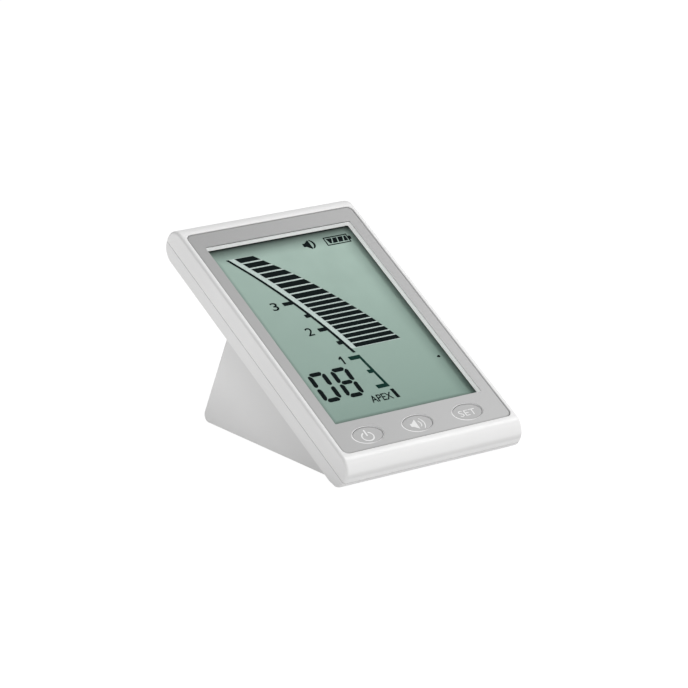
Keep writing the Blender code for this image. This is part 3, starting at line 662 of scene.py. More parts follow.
def side_stations(half_x, fillet):
    """(x, inset) pairs across a solid whose two sides are rounded off."""
    ends = [(half_x - fillet * (1 - rise), fillet * inset) for inset, rise in quarter(8)]
    return [(-x, inset) for x, inset in reversed(ends)] + ends


def flared(outline_at, floor_z, top, radius, steps=6):
    """Cutter whose mouth opens in a quarter round where it meets the surface at top."""
    levels = [(floor_z, outline_at(0.0))]
    for inset, rise in quarter(steps):
        levels.append((top - radius + radius * rise, outline_at(radius * inset)))
    levels.append((top + 2.0, outline_at(radius + 0.001)))
    return level_loft(levels)


# Front shell
front = temp(loft([[(x, y, z) for y, z in stadium(END_R - inset, SEAM_FRONT, END_R - inset, 40)]
                   for x, inset in side_stations(HALF_X, SIDE_FILLET)]))
POSTS = sorted(SHELL_SCREWS)
posts = temp(joined(discs(POSTS, 2.2, -1.15, 6.0, 24)))
cavity = temp(run_x(stadium(END_R - WALL, -4.5, FACE_UNDER, 14), -HALF_X + WALL, HALF_X - WALL))
cut(cavity, posts)
cut(front, cavity)
cut(front, flared(lambda out: centred_rect(RECESS_X + out, RECESS_Y + out, FACE_CORNER + out, 12),
                  RECESS_FLOOR, END_R, 0.38))
# The window's walls lean inwards below the recess floor.
levels = []
for z in (FACE_UNDER - 1.0, FACE_UNDER, RECESS_FLOOR, RECESS_FLOOR + 1.0):
    depth = (RECESS_FLOOR - z) / (RECESS_FLOOR - FACE_UNDER)
    inset_x, inset_y = 0.12 * depth + 0.1, 0.32 * depth + 0.1
    levels.append((z, round_rect(-WINDOW_X + inset_x, WINDOW_X - inset_x, WINDOW_LOW + inset_y,
                                 WINDOW_HIGH - inset_y, 0.35, 4)))
cut(front, level_loft(levels))
cut(front, joined([prism(ellipse(x, y, KEY_X, KEY_Y, 64), 3.0, 7.0) for x, y, _ in KEYS.values()]
                  + discs(POSTS, 1.15, -2.0, 3.6, 16)))
finish_piece(front, "front_shell", m_front, UNIT, replaces="front_housing",
             bevel=0.18, bevel_angle=60)


def rear_solid(edge_back=0.2, steps=40):
    """Its side edges are nearly sharp at the back and as round as the front shell's at the seam."""
    loops = []
    ends = quarter(8)
    for side, (inset, rise) in [(-1, end) for end in reversed(ends)] + [(1, end) for end in ends]:
        arc = []
        for k in range(steps + 1):
            part = k / steps
            fillet = edge_back + (SIDE_FILLET - edge_back) * part ** 3
            radius = END_R - fillet * inset
            top = math.asin(SEAM_REAR / radius)
            angle = -math.pi / 2 + (top + math.pi / 2) * part
            arc.append((side * (HALF_X - fillet * (1 - rise)), END_Y + radius * math.cos(angle),
                        radius * math.sin(angle)))
        loops.append(arc + [(x, -y, z) for x, y, z in reversed(arc)])
    return loft(loops)


def back_hole(x, y, radius, inner_z, rounding, steps=32):
    """Round hole through the unit's back, its rim rounded."""
    profile = [(radius, inner_z)]
    for inset, rise in quarter(4):
        profile.append((radius + rounding * inset, -END_R + rounding * (1 - rise)))
    profile.append((radius + rounding + 0.001, -END_R - 1.0))
    return turned(x, y, profile, steps)


# Rear shell
rear = temp(rear_solid())
# A shallow facet underneath leaves a crisp lower edge on the bottom end. (y, z)
FACET = [(-52.77, -7.83), (-67.37, -4.39), (-68.52, -9.26), (-53.92, -12.69)]
cut(rear, run_x(FACET, -HALF_X - 1, HALF_X + 1))
posts = temp(joined(discs(SHELL_SCREWS, 2.6, -6.0, -3.05, 24)
                    + discs(STAND_SCREWS, 2.4, -6.0, -3.2, 24)))
cavity = temp(run_x(stadium(END_R - WALL, -END_R + WALL, 2.0, 14), -37.2, 37.2))
cut(cavity, posts)
cut(rear, cavity)
# A lip stands up inside the seam.
lip = temp(prism(centred_rect(38.0, 61.9, 1.0, 4), -4.4, SEAM_FRONT + 1.0))
cut(lip, prism(centred_rect(37.3, 61.1, 0.5, 4), -6.0, 2.0))
cut(rear, lip, operation="UNION")
SOUND_X, SOUND_Y, SOUND_RING = 20.0, 34.0, 3.2      # one hole with six around it
LEAD_SLOT = (-8.0, 8.0, -8.0, -2.0)                 # slot through the rear shell and the stand
sound = [(SOUND_X, SOUND_Y)] + ellipse(SOUND_X, SOUND_Y, SOUND_RING, SOUND_RING, 6)
cut(rear, joined(discs(SHELL_SCREWS, 1.15, -6.0, -2.0, 16)
                 + discs(STAND_SCREWS, 1.15, -8.0, -2.6, 16)
                 + [back_hole(x, y, 0.7, -4.0, 0.18, 20) for x, y in sound]
                 + [box(*LEAD_SLOT, -8.0, -4.0)]))
cut(rear, joined([back_hole(x, y, 2.3, -5.25, 0.22) for x, y in SHELL_SCREWS]))
finish_piece(rear, "rear_shell", m_rear, UNIT, replaces="rear_housing",
             bevel=0.18, bevel_angle=60)


# --------------------------------------------------------------------------- grey overlay
def panel_outline(inset):
    return centred_rect(PANEL_HIGH.x - inset, PANEL_HIGH.y - inset, FACE_CORNER - inset, 12)


levels = [(PANEL_UNDER, panel_outline(0.0))]
for inset, rise in quarter(4):
    levels.append((PANEL_TOP - PANEL_ROUND + PANEL_ROUND * rise,
                   panel_outline(PANEL_ROUND * inset)))
panel = temp(level_loft(levels))
cut(panel, flared(lambda out: round_rect(-WINDOW_X - out, WINDOW_X + out, WINDOW_LOW - out,
                                         WINDOW_HIGH + out, 0.3 + out, 5),
                  PANEL_UNDER - 1.0, PANEL_TOP, 0.12, steps=4))
# The overlay rolls down into each key opening, further on the lower left.
for key_x, key_y, _ in KEYS.values():
    levels = [(PANEL_UNDER - 1.0, ellipse(key_x, key_y, OPEN_X, OPEN_Y))]
    for t in spread(0.0, 1.0, 8):
        soft = t * t * (3 - 2 * t)
        levels.append((PANEL_TOP - KEY_DROP * (1 - soft),
                       ellipse(key_x + KEY_SHIFT_X * t, key_y + KEY_SHIFT_Y * t,
                               OPEN_X + KEY_ROLL * t, OPEN_Y + KEY_ROLL * t)))
    levels.append((PANEL_TOP + 1.0, ellipse(key_x + KEY_SHIFT_X, key_y + KEY_SHIFT_Y,
                                            OPEN_X + KEY_ROLL + 0.001, OPEN_Y + KEY_ROLL + 0.001)))
    cut(panel, level_loft(levels))
finish_piece(panel, "panel_overlay", m_panel, UNIT, replaces="front_panel", smooth=40)

# --------------------------------------------------------------------------- keys
FLANGE_BOTTOM, FLANGE_TOP = 2.9, 4.15
FLANGE_WIDTH = 0.75
CAP_ROUND = 0.24
CROWN = 0.06                # the cap swells this much towards the middle
STEM_R = 1.5
for key, (key_x, key_y, top) in KEYS.items():
    low, high = local_box(key + "_button")
    flange = (high.x - low.x) / 2, (high.y - low.y) / 2
    cap_x = flange[0] - FLANGE_WIDTH - (KEY_X - OPEN_X)
    cap_y = flange[1] - FLANGE_WIDTH - (KEY_Y - OPEN_Y)
    shoulder = top - CROWN - CAP_ROUND
    rings = [(STEM_R, STEM_R, low.z), (STEM_R, STEM_R, FLANGE_BOTTOM), (*flange, FLANGE_BOTTOM),
             (*flange, FLANGE_TOP), (cap_x, cap_y, FLANGE_TOP)]
    for inset, rise in quarter(6):
        rings.append((cap_x - CAP_ROUND * inset, cap_y - CAP_ROUND * inset,
                      shoulder + CAP_ROUND * rise))
    for part in (0.94, 0.86, 0.74, 0.58, 0.40, 0.22, 0.08):
        rings.append((cap_x * part, cap_y * part, top - CROWN * part ** 4))
    cap = temp(level_loft([(z, ellipse(key_x, key_y, half_x, half_y))
                           for half_x, half_y, z in rings]))
    finish_piece(cap, key + "_key_cap", m_key, UNIT, body=key + "_key",
                 replaces=key + "_button", smooth=50)

# --------------------------------------------------------------------------- artwork helpers
INK = 0.035                 # thickness of printed and LCD artwork
ART_Z = LCD_TOP + 0.012
BAR_Z = ART_Z + 0.02


def flat(outline, z=ART_Z, thick=INK):
    """Thin plate of an outline in (x, y)."""
    area = sum(p[0] * q[1] - q[0] * p[1] for p, q in zip(outline, outline[1:] + outline[:1]))
    if area < 0:
        outline = list(reversed(outline))
    return prism(outline, z, z + thick)


def softened(points, radius, steps=3):
    """Polygon with every corner rounded."""
    outline = []
    for i in range(len(points)):
        corner = Vector(points[i])
        back = Vector(points[i - 1]) - corner
        ahead = Vector(points[(i + 1) % len(points)]) - corner
        reach = min(radius, back.length * 0.45, ahead.length * 0.45)
        start = corner + back.normalized() * reach
        end = corner + ahead.normalized() * reach
        for k in range(steps + 1):
            t = k / steps
            point = start * (1 - t) ** 2 + corner * 2 * t * (1 - t) + end * t * t
            outline.append((point.x, point.y))
    return outline


def along(points, y):
    """x of a smooth border at height y, through its control points."""
    points = sorted(points, key=lambda point: point[1])
    last = len(points) - 2
    i = next((k for k in range(last) if y <= points[k + 1][1]), last)
    before, start, end = points[max(i - 1, 0)], points[i], points[i + 1]
    after = points[min(i + 2, len(points) - 1)]
    height = end[1] - start[1]
    t = (y - start[1]) / height
    start_slope = (end[0] - before[0]) / (end[1] - before[1]) * height
    end_slope = (after[0] - start[0]) / (after[1] - start[1]) * height
    return ((2 * t ** 3 - 3 * t * t + 1) * start[0] + (t ** 3 - 2 * t * t + t) * start_slope
            + (-2 * t ** 3 + 3 * t * t) * end[0] + (t ** 3 - t * t) * end_slope)


def arc_band(x, y, radius, width, start, end, steps=20):
    """Arc of a ring from start to end in degrees, thinner towards its tips."""
    outer, inner = [], []
    for i in range(steps + 1):
        t = i / steps
        angle = math.radians(start + (end - start) * t)
        half = width * (0.55 + 0.45 * math.sin(math.pi * t)) / 2
        for side, line in ((half, outer), (-half, inner)):
            line.append((x + (radius + side) * math.cos(angle),
                         y + (radius + side) * math.sin(angle)))
    return outer + list(reversed(inner))


def text_mesh(body, left, right, low, high, z, weight):
    """Plain sans figures or letters fitted to a box."""
    curve = bpy.data.curves.new("lettering", "FONT")
    curve.body = body
    curve.size = 10.0
    curve.resolution_u = 8
    curve.offset = weight
    curve.extrude = 0.5
    obj = bpy.data.objects.new("lettering", curve)
    bpy.context.scene.collection.objects.link(obj)
    mesh = evaluated_mesh(obj)
    bpy.data.objects.remove(obj, do_unlink=True)
    shape = bmesh.new()
    shape.from_mesh(mesh)
    bpy.data.meshes.remove(mesh)
    bmesh.ops.remove_doubles(shape, verts=shape.verts[:], dist=0.001)
    xs = [v.co.x for v in shape.verts]
    ys = [v.co.y for v in shape.verts]
    start_x, start_y = min(xs), min(ys)
    scale_x = (right - left) / (max(xs) - start_x)
    scale_y = (high - low) / (max(ys) - start_y)
    for v in shape.verts:
        v.co = Vector((left + (v.co.x - start_x) * scale_x, low + (v.co.y - start_y) * scale_y,
                       z + (v.co.z + 0.5) * INK))
    return shape


# --------------------------------------------------------------------------- LCD artwork
# Borders of the bars and the long curved line beside them. (x, y)
LEFT_EDGE = [(-22.55, 44.95), (-16.6, 34.5), (-12.1, 25.5), (-8.25, 16.2), (-5.05, 7.5),
             (-2.6, 0.0), (-0.4, -8.6)]
RIGHT_EDGE = [(-14.35, 44.95), (-5.1, 34.5), (1.7, 25.5), (7.7, 16.2), (12.75, 7.5),
              (16.4, 0.0), (20.0, -8.6)]
SCALE_LINE = [(-25.7, 45.0), (-19.75, 34.5), (-15.3, 25.5), (-11.25, 16.2), (-8.0, 7.5),
              (-5.55, 0.0), (-2.6, -10.9)]
LINE_HALF = 0.62
# Ticks of the curved line and of the straight one: left end, top, bottom
SCALE_TICKS = [(-16.8, 19.35, 17.6), (-11.6, 11.6, 9.85), (-10.45, 3.8, 2.0), (-6.75, -4.0, -5.85)]
SLANT_TICKS = [(-6.7, -12.35, -14.25), (-3.2, -20.25, -22.05), (-4.15, -28.0, -29.85)]
SLANT_TOP, SLANT_BOTTOM, SLANT_HALF = (-2.05, -12.35), (0.82, -29.85), 0.58


def scale_x(y):
    return along(SCALE_LINE, y)


def slant_x(y):
    (top_x, top_y), (bottom_x, bottom_y) = SLANT_TOP, SLANT_BOTTOM
    return top_x + (bottom_x - top_x) * (y - top_y) / (bottom_y - top_y)


def tick(left, top, bottom, line_x, rounding):
    return flat(softened([(left + 0.3, bottom), (line_x(bottom) - 0.6, bottom),
                          (line_x(top) - 0.6, top), (left, top)], rounding))


black, green, pale = [], [], []
# Eight tall bars, then eleven low ones: top and height
bars = [(44.95 - 3.215 * k, 2.50) for k in range(8)] + [(19.25 - 2.586 * k, 1.98) for k in range(11)]
for top, height in bars:
    rows = spread(top - height, top, 3)
    black.append(flat([(along(LEFT_EDGE, y), y) for y in reversed(rows)]
                      + [(along(RIGHT_EDGE, y), y) for y in rows], BAR_Z))
# A pale band lies under the bars and reaches to the long curved line.
rows = spread(45.15, -8.85, 40)
pale.append(flat([(scale_x(y) + 0.2, y) for y in rows]
                 + [(along(RIGHT_EDGE, y) + 0.05, y) for y in reversed(rows)],
                 LCD_TOP + 0.004, 0.012))
rows = spread(45.0, -10.9, 48)
black.append(flat([(scale_x(y) - LINE_HALF, y) for y in rows]
                  + [(scale_x(y) + LINE_HALF, y) for y in reversed(rows)], BAR_Z))
black += [tick(*place, scale_x, 0.22) for place in SCALE_TICKS]
# Bracket for the last part of the scale.
top, bottom = SLANT_TOP[1], SLANT_BOTTOM[1]
green.append(flat([(slant_x(top) - SLANT_HALF, top), (slant_x(bottom) - SLANT_HALF, bottom),
                   (slant_x(bottom) + SLANT_HALF, bottom), (slant_x(top) + SLANT_HALF, top)]))
green += [tick(*place, slant_x, 0.25) for place in SLANT_TICKS]
# Short slanted stroke beside the lettering, and a small mark at the right.
black.append(flat(softened([(0.9, -35.8), (2.4, -35.8), (1.9, -31.2), (0.35, -31.2)], 0.2)))
black.append(flat(softened([(28.7, -21.1), (29.6, -21.7), (30.3, -21.5), (30.3, -20.6),
                            (29.7, -20.4)], 0.3)))


def digit(left, lit):
    """Seven-segment figure of softly rounded, mitred segments."""
    right, low, high, thick = left + 7.85, -31.3, -16.3, 1.9
    middle = (low + high) / 2
    shapes = {
        "a": [(left + 1.15, high - 0.7), (left + 1.8, high), (right - 1.8, high),
              (right - 1.15, high - 0.7), (right - 1.95, high - thick),
              (left + 1.95, high - thick)],
        "d": [(left + 1.15, low + 0.7), (left + 1.95, low + thick), (right - 1.95, low + thick),
              (right - 1.15, low + 0.7), (right - 1.8, low), (left + 1.8, low)],
        "g": [(left + 1.45, middle), (left + 2.2, middle + 0.93), (right - 2.2, middle + 0.93),
              (right - 1.45, middle), (right - 2.2, middle - 0.93), (left + 2.2, middle - 0.93)],
    }
    for name, side, far, up in (("f", -1, high, 1), ("b", 1, high, 1), ("e", -1, low, -1),
                                ("c", 1, low, -1)):
        edge = left if side < 0 else right
        inner = edge - side * thick
        shapes[name] = [(edge, far - up * 1.75), (edge - side * 0.5, far - up * 1.25),
                        (edge - side * 1.05, far - up * 1.25), (inner, far - up * 2.4),
                        (inner, middle + up * 1.2), (edge - side * 1.2, middle + up * 0.42),
                        (edge - side * 0.45, middle + up * 0.42), (edge, middle + up * 0.9)]
    return [flat(softened(shapes[name], 0.42, 4)) for name in lit]


black += digit(-28.15, "abcdef")
black += digit(-18.1, "abcdefg")
# Loudspeaker symbol.
black.append(flat(softened([(9.1, 44.35), (10.2, 44.35), (12.05, 42.8), (12.4, 42.8), (12.4, 47.5),
                            (12.05, 47.5), (10.2, 46.15), (9.1, 46.15)], 0.15)))
black.append(flat(arc_band(11.55, 45.2, 2.5, 0.9, -60, 60)))
# Battery symbol: outline in four strokes, end cap and four slanted bars.
left, right, low, high, stroke = 19.25, 30.3, 42.8, 47.3, 0.5
side_rows = low + stroke + 0.01, high - stroke - 0.01
black += [flat(rect(left, right, high - stroke, high)), flat(rect(left, right, low, low + stroke)),
          flat(rect(left, left + stroke, *side_rows)), flat(rect(right - stroke, right, *side_rows)),
          flat(softened([(right + 0.01, 44.1), (right + 1.05, 44.3), (right + 1.05, 45.9),
                         (right + 0.01, 46.15)], 0.3))]
# Left and right x at the foot of each bar, then at its head
for foot_left, foot_right, head_left, head_right in (
        (20.95, 21.85, 20.25, 22.8), (22.35, 24.5, 23.3, 25.2),
        (25.0, 27.1, 25.7, 27.95), (27.6, 29.4, 28.45, 29.4)):
    black.append(flat([(foot_left, 43.8), (foot_right, 43.8), (head_right, 46.4),
                       (head_left, 46.4)]))
# Scale figures 3, 2 and 1, and the lettering.
black.append(text_mesh("3", -22.0, -19.1, 16.2, 20.25, ART_Z, weight=0.10))
black.append(text_mesh("2", -15.6, -12.75, 1.0, 5.1, ART_Z, weight=0.10))
black.append(flat([(-9.2, -11.4), (-9.95, -11.4), (-10.9, -12.35), (-10.75, -12.95),
                   (-9.95, -12.45), (-9.95, -15.35), (-9.2, -15.35)]))
black.append(text_mesh("APEX", -10.0, -0.4, -35.75, -32.35, ART_Z, weight=0.11))

for name, parts, mat in (("lcd_segments", black, m_black), ("lcd_scale_bracket", green, m_green),
                         ("lcd_pale_band", pale, m_pale)):
    finish_piece(temp(joined(parts)), name, mat, UNIT, smooth=30)


# --------------------------------------------------------------------------- symbols on the keys
def print_z(key):
    return KEYS[key][2] + 0.004


def print_on_key(key, parts):
    finish_piece(temp(joined(parts)), key + "_key_symbol", m_white_ink, UNIT,
                 body=key + "_key")


# Power: an upright stroke in the gap of a ring
power_x, power_y = -24.0, -52.2
STROKE_HALF, RING_GAP = 0.34, 24
angles = [math.radians(turn) for turn in spread(90 + RING_GAP, 450 - RING_GAP, 48)]
outer, inner = [[(power_x + half_x * math.cos(angle), power_y + half_y * math.sin(angle))
                 for angle in angles] for half_x, half_y in ((2.70, 2.30), (2.14, 1.76))]
outlines = [softened(rect(power_x - STROKE_HALF, power_x + STROKE_HALF, -51.9, -48.9), 0.26),
            outer + list(reversed(inner))]
z = print_z("power")
print_on_key("power", [prism(outline, z, z + INK) for outline in outlines])

# Volume: a loudspeaker and two arcs
outlines = [softened([(-4.6, -52.6), (-3.7, -52.6), (-1.7, -54.3), (-1.7, -49.4), (-3.7, -51.1),
                      (-4.6, -51.1)], 0.15)]
outlines += [arc_band(-1.9, -51.85, radius, 0.52, -48, 48) for radius in (1.9, 3.3)]
z = print_z("volume")
print_on_key("volume", [prism(outline, z, z + INK) for outline in outlines])

print_on_key("set", [text_mesh("SET", 17.5, 25.1, -53.25, -50.4, print_z("set"), weight=-0.02)])

# --------------------------------------------------------------------------- stand
STAND_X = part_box("stand_housing")[1].x / MM
REAR_Y = 41.15              # rear edge of the stand at its base
BASE_Z = 0.8
REAR_SLOPE = math.radians(64.8)
TOP_SLOPE = math.tan(TILT)
STAND_FILLET = 1.5
STAND_WALL = 2.0
BASE_SCREWS = in_pairs(29.7, -24.0, 32.0)
FEET = in_pairs(29.7, -32.6, 23.0)
# A point of the stand's sloping top, 0.3 off the unit's back.
back_y = -END_Y * math.cos(TILT) + END_R * math.sin(TILT)
back_z = UNIT_Z - END_Y * math.sin(TILT) - END_R * math.cos(TILT)
line_y = back_y + 0.3 * math.sin(TILT)
line_z = back_z - 0.3 * math.cos(TILT)


def rear_corner(rear_inset=0.0, top_inset=0.0):
    """(y, z) where the rear face meets the sloping top, with both moved inwards."""
    run = (((REAR_Y - rear_inset - line_y) * TOP_SLOPE - (BASE_Z - line_z + top_inset))
           / (math.sin(REAR_SLOPE) + math.cos(REAR_SLOPE) * TOP_SLOPE))
    return REAR_Y - rear_inset - run * math.cos(REAR_SLOPE), BASE_Z + run * math.sin(REAR_SLOPE)


def rounded_corner(before, corner, after, radius, steps=10):
    """Arc that takes the place of one corner."""
    corner = Vector(corner)
    coming = (corner - Vector(before)).normalized()
    going = (Vector(after) - corner).normalized()
    half_angle = math.acos((-coming).dot(going)) / 2
    reach = radius / math.tan(half_angle)
    start, end = corner - coming * reach, corner + going * reach
    centre = corner + (going - coming).normalized() * (radius / math.sin(half_angle))
    angles = spread(math.atan2(start.y - centre.y, start.x - centre.x),
                    math.atan2(end.y - centre.y, end.x - centre.x), steps)
    return [(centre.x + radius * math.cos(angle), centre.y + radius * math.sin(angle))
            for angle in angles]


def wedge_solid():
    tip_y = line_y + (BASE_Z - line_z) / TOP_SLOPE
    top_y, top_z = rear_corner()
    loops = []
    for x, inset in side_stations(STAND_X, STAND_FILLET):
        low = BASE_Z + inset * 0.35
        tip = (tip_y + inset / TOP_SLOPE, low)
        heel = (REAR_Y - inset / math.sin(REAR_SLOPE), low)
        top = (top_y - inset * 0.9, top_z - inset * 0.9 * TOP_SLOPE)
        section = [tip, *rounded_corner(tip, heel, top, 2.5), top]
        loops.append([(x, y, z) for y, z in section])
    return loft(loops)


# Cavity, with posts left standing for the underside screws
top_inset = STAND_WALL / math.cos(TILT)
rear_inset = STAND_WALL / math.sin(REAR_SLOPE)
CAVITY_Y = -38.0
inner = [(CAVITY_Y, -1.0), (REAR_Y - rear_inset + (BASE_Z + 1.0) / math.tan(REAR_SLOPE), -1.0),
         rear_corner(rear_inset, top_inset),
         (CAVITY_Y, line_z + (CAVITY_Y - line_y) * TOP_SLOPE - top_inset)]
cavity = temp(run_x(inner, -STAND_X + STAND_WALL, STAND_X - STAND_WALL))
cut(cavity, joined(discs(BASE_SCREWS, 3.0, 3.55, 60.0, 24)))
stand = temp(wedge_solid())
cut(stand, cavity)
cut(stand, joined(discs(BASE_SCREWS, 1.3, 0.0, 10.0, 16)))
cut(stand, moved(joined(discs(STAND_SCREWS, 1.2, -10.0, -6.0, 16)
                        + [box(*LEAD_SLOT, -10.5, -6.0)]), UNIT))
# Opening for the battery door, with a groove along each side. (x, z)
BAY_X, BAY_FRONT, GROOVE_X = 24.25, -8.25, 25.6
RAIL = [(-BAY_X, -1.0), (BAY_X, -1.0), (BAY_X, 1.6), (GROOVE_X, 1.6), (GROOVE_X, 2.6),
        (-GROOVE_X, 2.6), (-GROOVE_X, 1.6), (-BAY_X, 1.6)]
cut(stand, run_y(RAIL, BAY_FRONT, 50.0))
# Sockets: the probe's on the right side at (y, z), the charger's on the rear face at (x, z)
PROBE_Y, PROBE_Z = 16.0, 21.0
CHARGE_X, CHARGE_Z = -14.0, 22.0
to_side = Matrix.Translation((STAND_X, PROBE_Y, PROBE_Z)) @ Matrix.Rotation(math.pi / 2, 4, "Y")
rear_at = Vector((CHARGE_X, REAR_Y - (CHARGE_Z - BASE_Z) / math.tan(REAR_SLOPE), CHARGE_Z))
rear_out = Vector((0.0, math.sin(REAR_SLOPE), math.cos(REAR_SLOPE)))
to_rear = Matrix.Translation(rear_at) @ rear_out.to_track_quat("Z", "Y").to_matrix().to_4x4()
cut(stand, joined([moved(disc(0, 0, 4.3, -5.0, 3.0, 40), to_side),
                   moved(disc(0, 0, 4.9, -5.0, 3.0, 40), to_rear)]))
finish_piece(stand, "stand_shell_visible", m_stand, replaces="stand_housing",
             bevel=0.16, bevel_angle=60)

# Base plate with the walls of the battery bay
base = temp(prism(round_rect(-33.7, 33.7, -37.7, 37.4, 1.0, 6), BASE_Z, 3.4))
well = temp(box(-26.0, 26.0, -9.8, 34.0, 3.0, 9.0))
cut(well, box(-BAY_X, BAY_X, BAY_FRONT, 32.4, 2.0, 11.0))
cut(base, well, operation="UNION")
cut(base, run_y(RAIL, BAY_FRONT, 50.0))
cut(base, box(-BAY_X, BAY_X, BAY_FRONT, 32.4, 2.2, 5.0))
cut(base, joined(discs(BASE_SCREWS, 1.35, 0.0, 5.0, 20) + discs(FEET, 3.75, 0.0, 2.05, 40)))
cut(base, joined(discs(BASE_SCREWS, 2.6, 0.0, 2.25, 32)))
finish_piece(base, "base_plate_visible", m_base, replaces="base_plate",
             bevel=0.15, bevel_angle=60)

# Battery door with side tongues, trimmed to the wedge, and grip grooves underneath
door = temp(box(-24.0, 24.0, -8.0, 46.0, -0.5, 2.4))
cut(door, box(-25.3, 25.3, -7.99, 37.0, 1.7, 2.39), operation="UNION")
cut(door, wedge_solid(), operation="INTERSECT")
# Half width and z of a groove, from below up
GROOVE = [(0.55, -1.0), (0.5, BASE_Z + 0.12), (0.28, BASE_Z + 0.5)]
grip = []
for k in range(5):
    y = 24.5 + 2.0 * k
    left, right = [[(y + side * half, z) for half, z in GROOVE] for side in (-1, 1)]
    grip.append(run_x([left[0], *right, *reversed(left[1:])], -9.0, 9.0))
cut(door, joined(grip))
finish_piece(door, "battery_door_visible", m_door, body="battery_cover",
             replaces="battery_door", bevel=0.14)


# --------------------------------------------------------------------------- screws, feet, sockets
def driver_recess(x, y, arm, half, face_z, floor_z):
    """Tapered cross recess, cut upwards into a head that faces down."""
    levels = []
    for z, taper in ((face_z - 0.4, 1.15), (face_z, 1.0), (floor_z, 0.62)):
        far, near = arm * taper, half * (0.7 + 0.3 * taper)
        cross = [(near, far), (-near, far), (-near, near), (-far, near), (-far, -near),
                 (-near, -near), (-near, -far), (near, -far), (near, -near), (far, -near),
                 (far, near), (near, near)]
        levels.append((z, [(x + across, y + along_y) for across, along_y in cross]))
    return level_loft(levels)


# Share of the head radius and of the head height
HEAD = [(0.30, 0.0), (0.62, 0.05), (0.86, 0.2), (0.98, 0.45), (1.0, 0.7), (1.0, 1.0)]
PITCH = 0.5


def screws(name, node, places, head_z, head_r, head_h, shaft_r, tip_z, matrix=Matrix()):
    profile = [(head_r * wide, head_z + head_h * up) for wide, up in HEAD]
    profile.append((shaft_r, head_z + head_h))
    z = head_z + head_h + 0.3
    while z < tip_z - shaft_r - PITCH:
        profile += [(shaft_r, z), (shaft_r * 0.8, z + PITCH * 0.5)]
        z += PITCH
    profile += [(shaft_r * 0.95, tip_z - shaft_r), (shaft_r * 0.35, tip_z)]
    for i, (x, y) in enumerate(places, 1):
        obj = temp(turned(x, y, profile, 32))
        cut(obj, driver_recess(x, y, head_r * 0.55, head_r * 0.13, head_z, head_z + head_h * 0.62))
        finish_piece(obj, f"{name}_{i}", m_steel, matrix, replaces=f"{node}_{i}",
                     smooth=35)


screws("shell_screw", "housing_screw", SHELL_SCREWS, head_z=-6.55, head_r=2.0, head_h=1.2,
       shaft_r=0.95, tip_z=3.2, matrix=UNIT)
screws("underside_screw", "base_screw", BASE_SCREWS, head_z=0.95, head_r=2.3, head_h=1.15,
       shaft_r=1.1, tip_z=9.5)

# Rounded underside of a foot: inset from its radius, z
FOOT_R = 3.5
FOOT = [(1.9, 0.0), (0.75, 0.0), (0.42, 0.06), (0.14, 0.28), (0.0, 0.62), (0.0, 1.9)]
for i, (x, y) in enumerate(FEET, 1):
    foot = temp(turned(x, y, [(FOOT_R - inset, z) for inset, z in FOOT], 56))
    finish_piece(foot, f"foot_pad_{i}", m_rubber, replaces=f"rubber_foot_{i}",
                 smooth=50)


def ring_socket(name, node, matrix, body_r, bore_r, flange_r, back, pin_r=None):
    profile = [(body_r - 0.7, back), (body_r - 0.7, -9.2), (body_r, -9.2), (body_r, 0.2),
               (flange_r, 0.2), (flange_r, 0.62), (flange_r - 0.08, 0.85), (flange_r - 0.28, 1.03),
               (flange_r - 0.55, 1.1), (bore_r + 0.95, 1.1)]
    obj = temp(turned(0, 0, profile, 64))
    hole = temp(turned(0, 0, [(bore_r, -10.0), (bore_r, 0.45), (bore_r + 0.12, 0.8),
                              (bore_r + 0.36, 1.02), (bore_r + 0.62, 1.1), (bore_r + 0.66, 2.0)]))
    if pin_r:
        cut(hole, turned(0, 0, [(pin_r, -11.0), (pin_r, -1.3), (pin_r * 0.8, -0.9),
                                (pin_r * 0.3, -0.7)], 24))
    cut(obj, hole)
    finish_piece(obj, name, m_socket, matrix, replaces=node, smooth=40)


ring_socket("probe_jack", "probe_socket", to_side, body_r=4.0, bore_r=1.8, flange_r=5.4,
            back=-12.5)
ring_socket("charge_jack", "charge_socket", to_rear, body_r=4.6, bore_r=2.8, flange_r=5.8,
            back=-12.0, pin_r=1.0)

# --------------------------------------------------------------------------- finishes of CAD nodes
finish_of = {
    "display_window": m_clear, "lcd_front_glass": m_lcd, "lcd_rear_glass": rear_glass(),
    "lcd_holder": m_cream, "zebra_strip": m_strip, "main_board": m_board,
    "processor_chip": m_chip, "measuring_chip": m_chip, "board_connector": m_cream,
    "buzzer_disc": m_brass, "battery_pack": m_wrap, "battery_lead": m_lead,
    "probe_lead": m_lead, "charge_lead": m_lead,
}
for key in KEYS:
    finish_of[key + "_switch_body"] = m_switch
    finish_of[key + "_switch_plunger"] = m_switch
for i in range(1, 5):
    finish_of[f"stand_screw_{i}"] = m_steel
for name, mat in finish_of.items():
    materials = nodes[name].data.materials
    materials.clear()
    materials.append(mat)

# --------------------------------------------------------------------------- stage
scene = bpy.context.scene
world = bpy.data.worlds.new("studio")
scene.world = world
world.use_nodes = True
background = world.node_tree.nodes["Background"]
background.inputs["Color"].default_value = (1.0, 1.0, 1.0, 1.0)
background.inputs["Strength"].default_value = 0.47


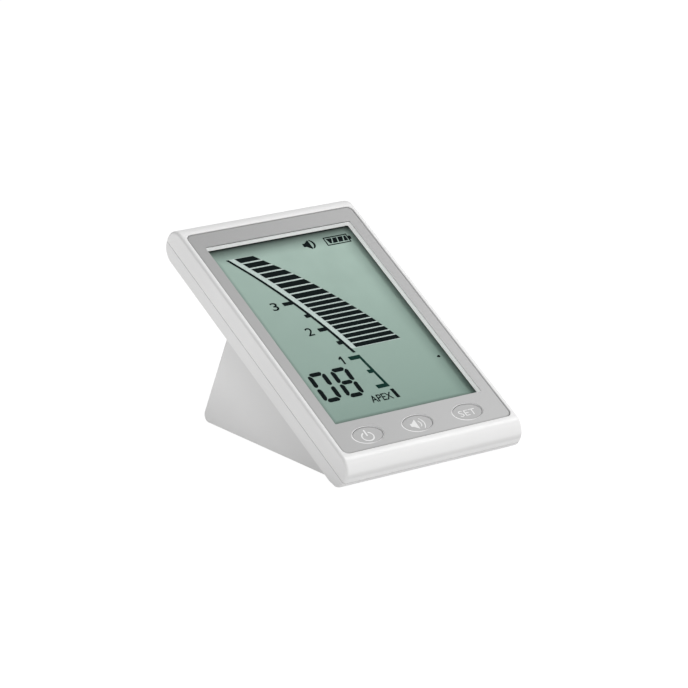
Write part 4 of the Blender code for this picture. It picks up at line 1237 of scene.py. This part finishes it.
def floor_material():
    """Pale paper, unseen from below, whose glow for all but camera rays is painted dimmer under and
    close to the object as a painted shadow.
    """
    graph = Graph("studio_floor_pale")
    place = graph.coords()
    camera_ray = graph.make("ShaderNodeLightPath", output="Is Camera Ray")
    drift = place.noise(scale=0.004, detail=2.0)
    sheet = drift.ease().mix((0.42, 0.42, 0.42), (0.44, 0.44, 0.44))
    x, y, _ = place.xyz()
    # Painted shadow: the glow fades under and close to the object, except for camera rays.
    glow = beyond(x, y, 40.0, 57.0).ease(over=(0.0, 40.0), to=(0.42, 0.76))
    glow = glow * (1.0 - camera_ray) + camera_ray * 0.94
    paper = graph.bsdf(camera_ray.mix(sheet, (0.16, 0.16, 0.16)), rough=0.9, specular=0.0,
                       glow=glow)
    backfacing = graph.make("ShaderNodeNewGeometry", output="Backfacing")
    unseen = graph.make("ShaderNodeBsdfTransparent")
    return graph.done(graph.mix_shaders(backfacing, paper, unseen))


# The floor is in metres, just under the feet.
sheet = bmesh.new()
sheet.faces.new([sheet.verts.new((x, y, -0.00004)) for x, y in rect(-6.0, 6.0, -6.0, 9.0)])
floor_mesh = bpy.data.meshes.new("studio_floor")
sheet.to_mesh(floor_mesh)
sheet.free()
floor = bpy.data.objects.new("studio_floor", floor_mesh)
scene.collection.objects.link(floor)
floor_mesh.materials.append(floor_material())

# --------------------------------------------------------------------------- lights and camera
centre = (cad_low + cad_high) / 2


def area(name, direction, distance, size, energy):
    """Square light in a direction from the product's centre, facing it."""
    light = bpy.data.lights.new(name, "AREA")
    light.energy = energy
    light.size = size
    obj = bpy.data.objects.new(name, light)
    obj.location = centre + Vector(direction) * distance
    obj.rotation_euler = (centre - obj.location).to_track_quat("-Z", "Y").to_euler()
    scene.collection.objects.link(obj)


area("key", (0.565, -0.38, 0.73), distance=1.5, size=0.42, energy=10.2)
area("rear_key", (0.62, 0.30, 0.73), distance=1.5, size=0.50, energy=2.7)
area("left_fill", (-0.80, -0.45, 0.30), distance=1.6, size=0.60, energy=1.1)

# The camera looks down from the front left, at a point near the middle of the unit's face.
AZIMUTH, ELEVATION = math.radians(36.203), math.radians(16.811)
SHIFT_LEFT, SHIFT_DOWN, DISTANCE = 0.001369, 0.007145, 1.21006
forward = Vector((math.sin(AZIMUTH) * math.cos(ELEVATION),
                  math.cos(AZIMUTH) * math.cos(ELEVATION), -math.sin(ELEVATION)))
right = Vector((math.cos(AZIMUTH), -math.sin(AZIMUTH), 0.0))
down = forward.cross(right)
aim = (UNIT @ Vector((0, 0, END_R))) * MM
camera_data = bpy.data.cameras.new("camera")
camera_data.sensor_width = 36.0
camera_data.lens = 171.9026163
camera_data.clip_start = 0.05
camera_data.clip_end = 50.0
camera = bpy.data.objects.new("camera", camera_data)
camera.location = aim - right * SHIFT_LEFT + down * SHIFT_DOWN - forward * DISTANCE
camera.rotation_mode = "QUATERNION"
camera.rotation_quaternion = forward.to_track_quat("-Z", "Y")
scene.collection.objects.link(camera)
scene.camera = camera

scene.view_settings.view_transform = "Standard"
scene.view_settings.look = "None"
scene.cycles.use_denoising = True

bpy.context.view_layer.update()
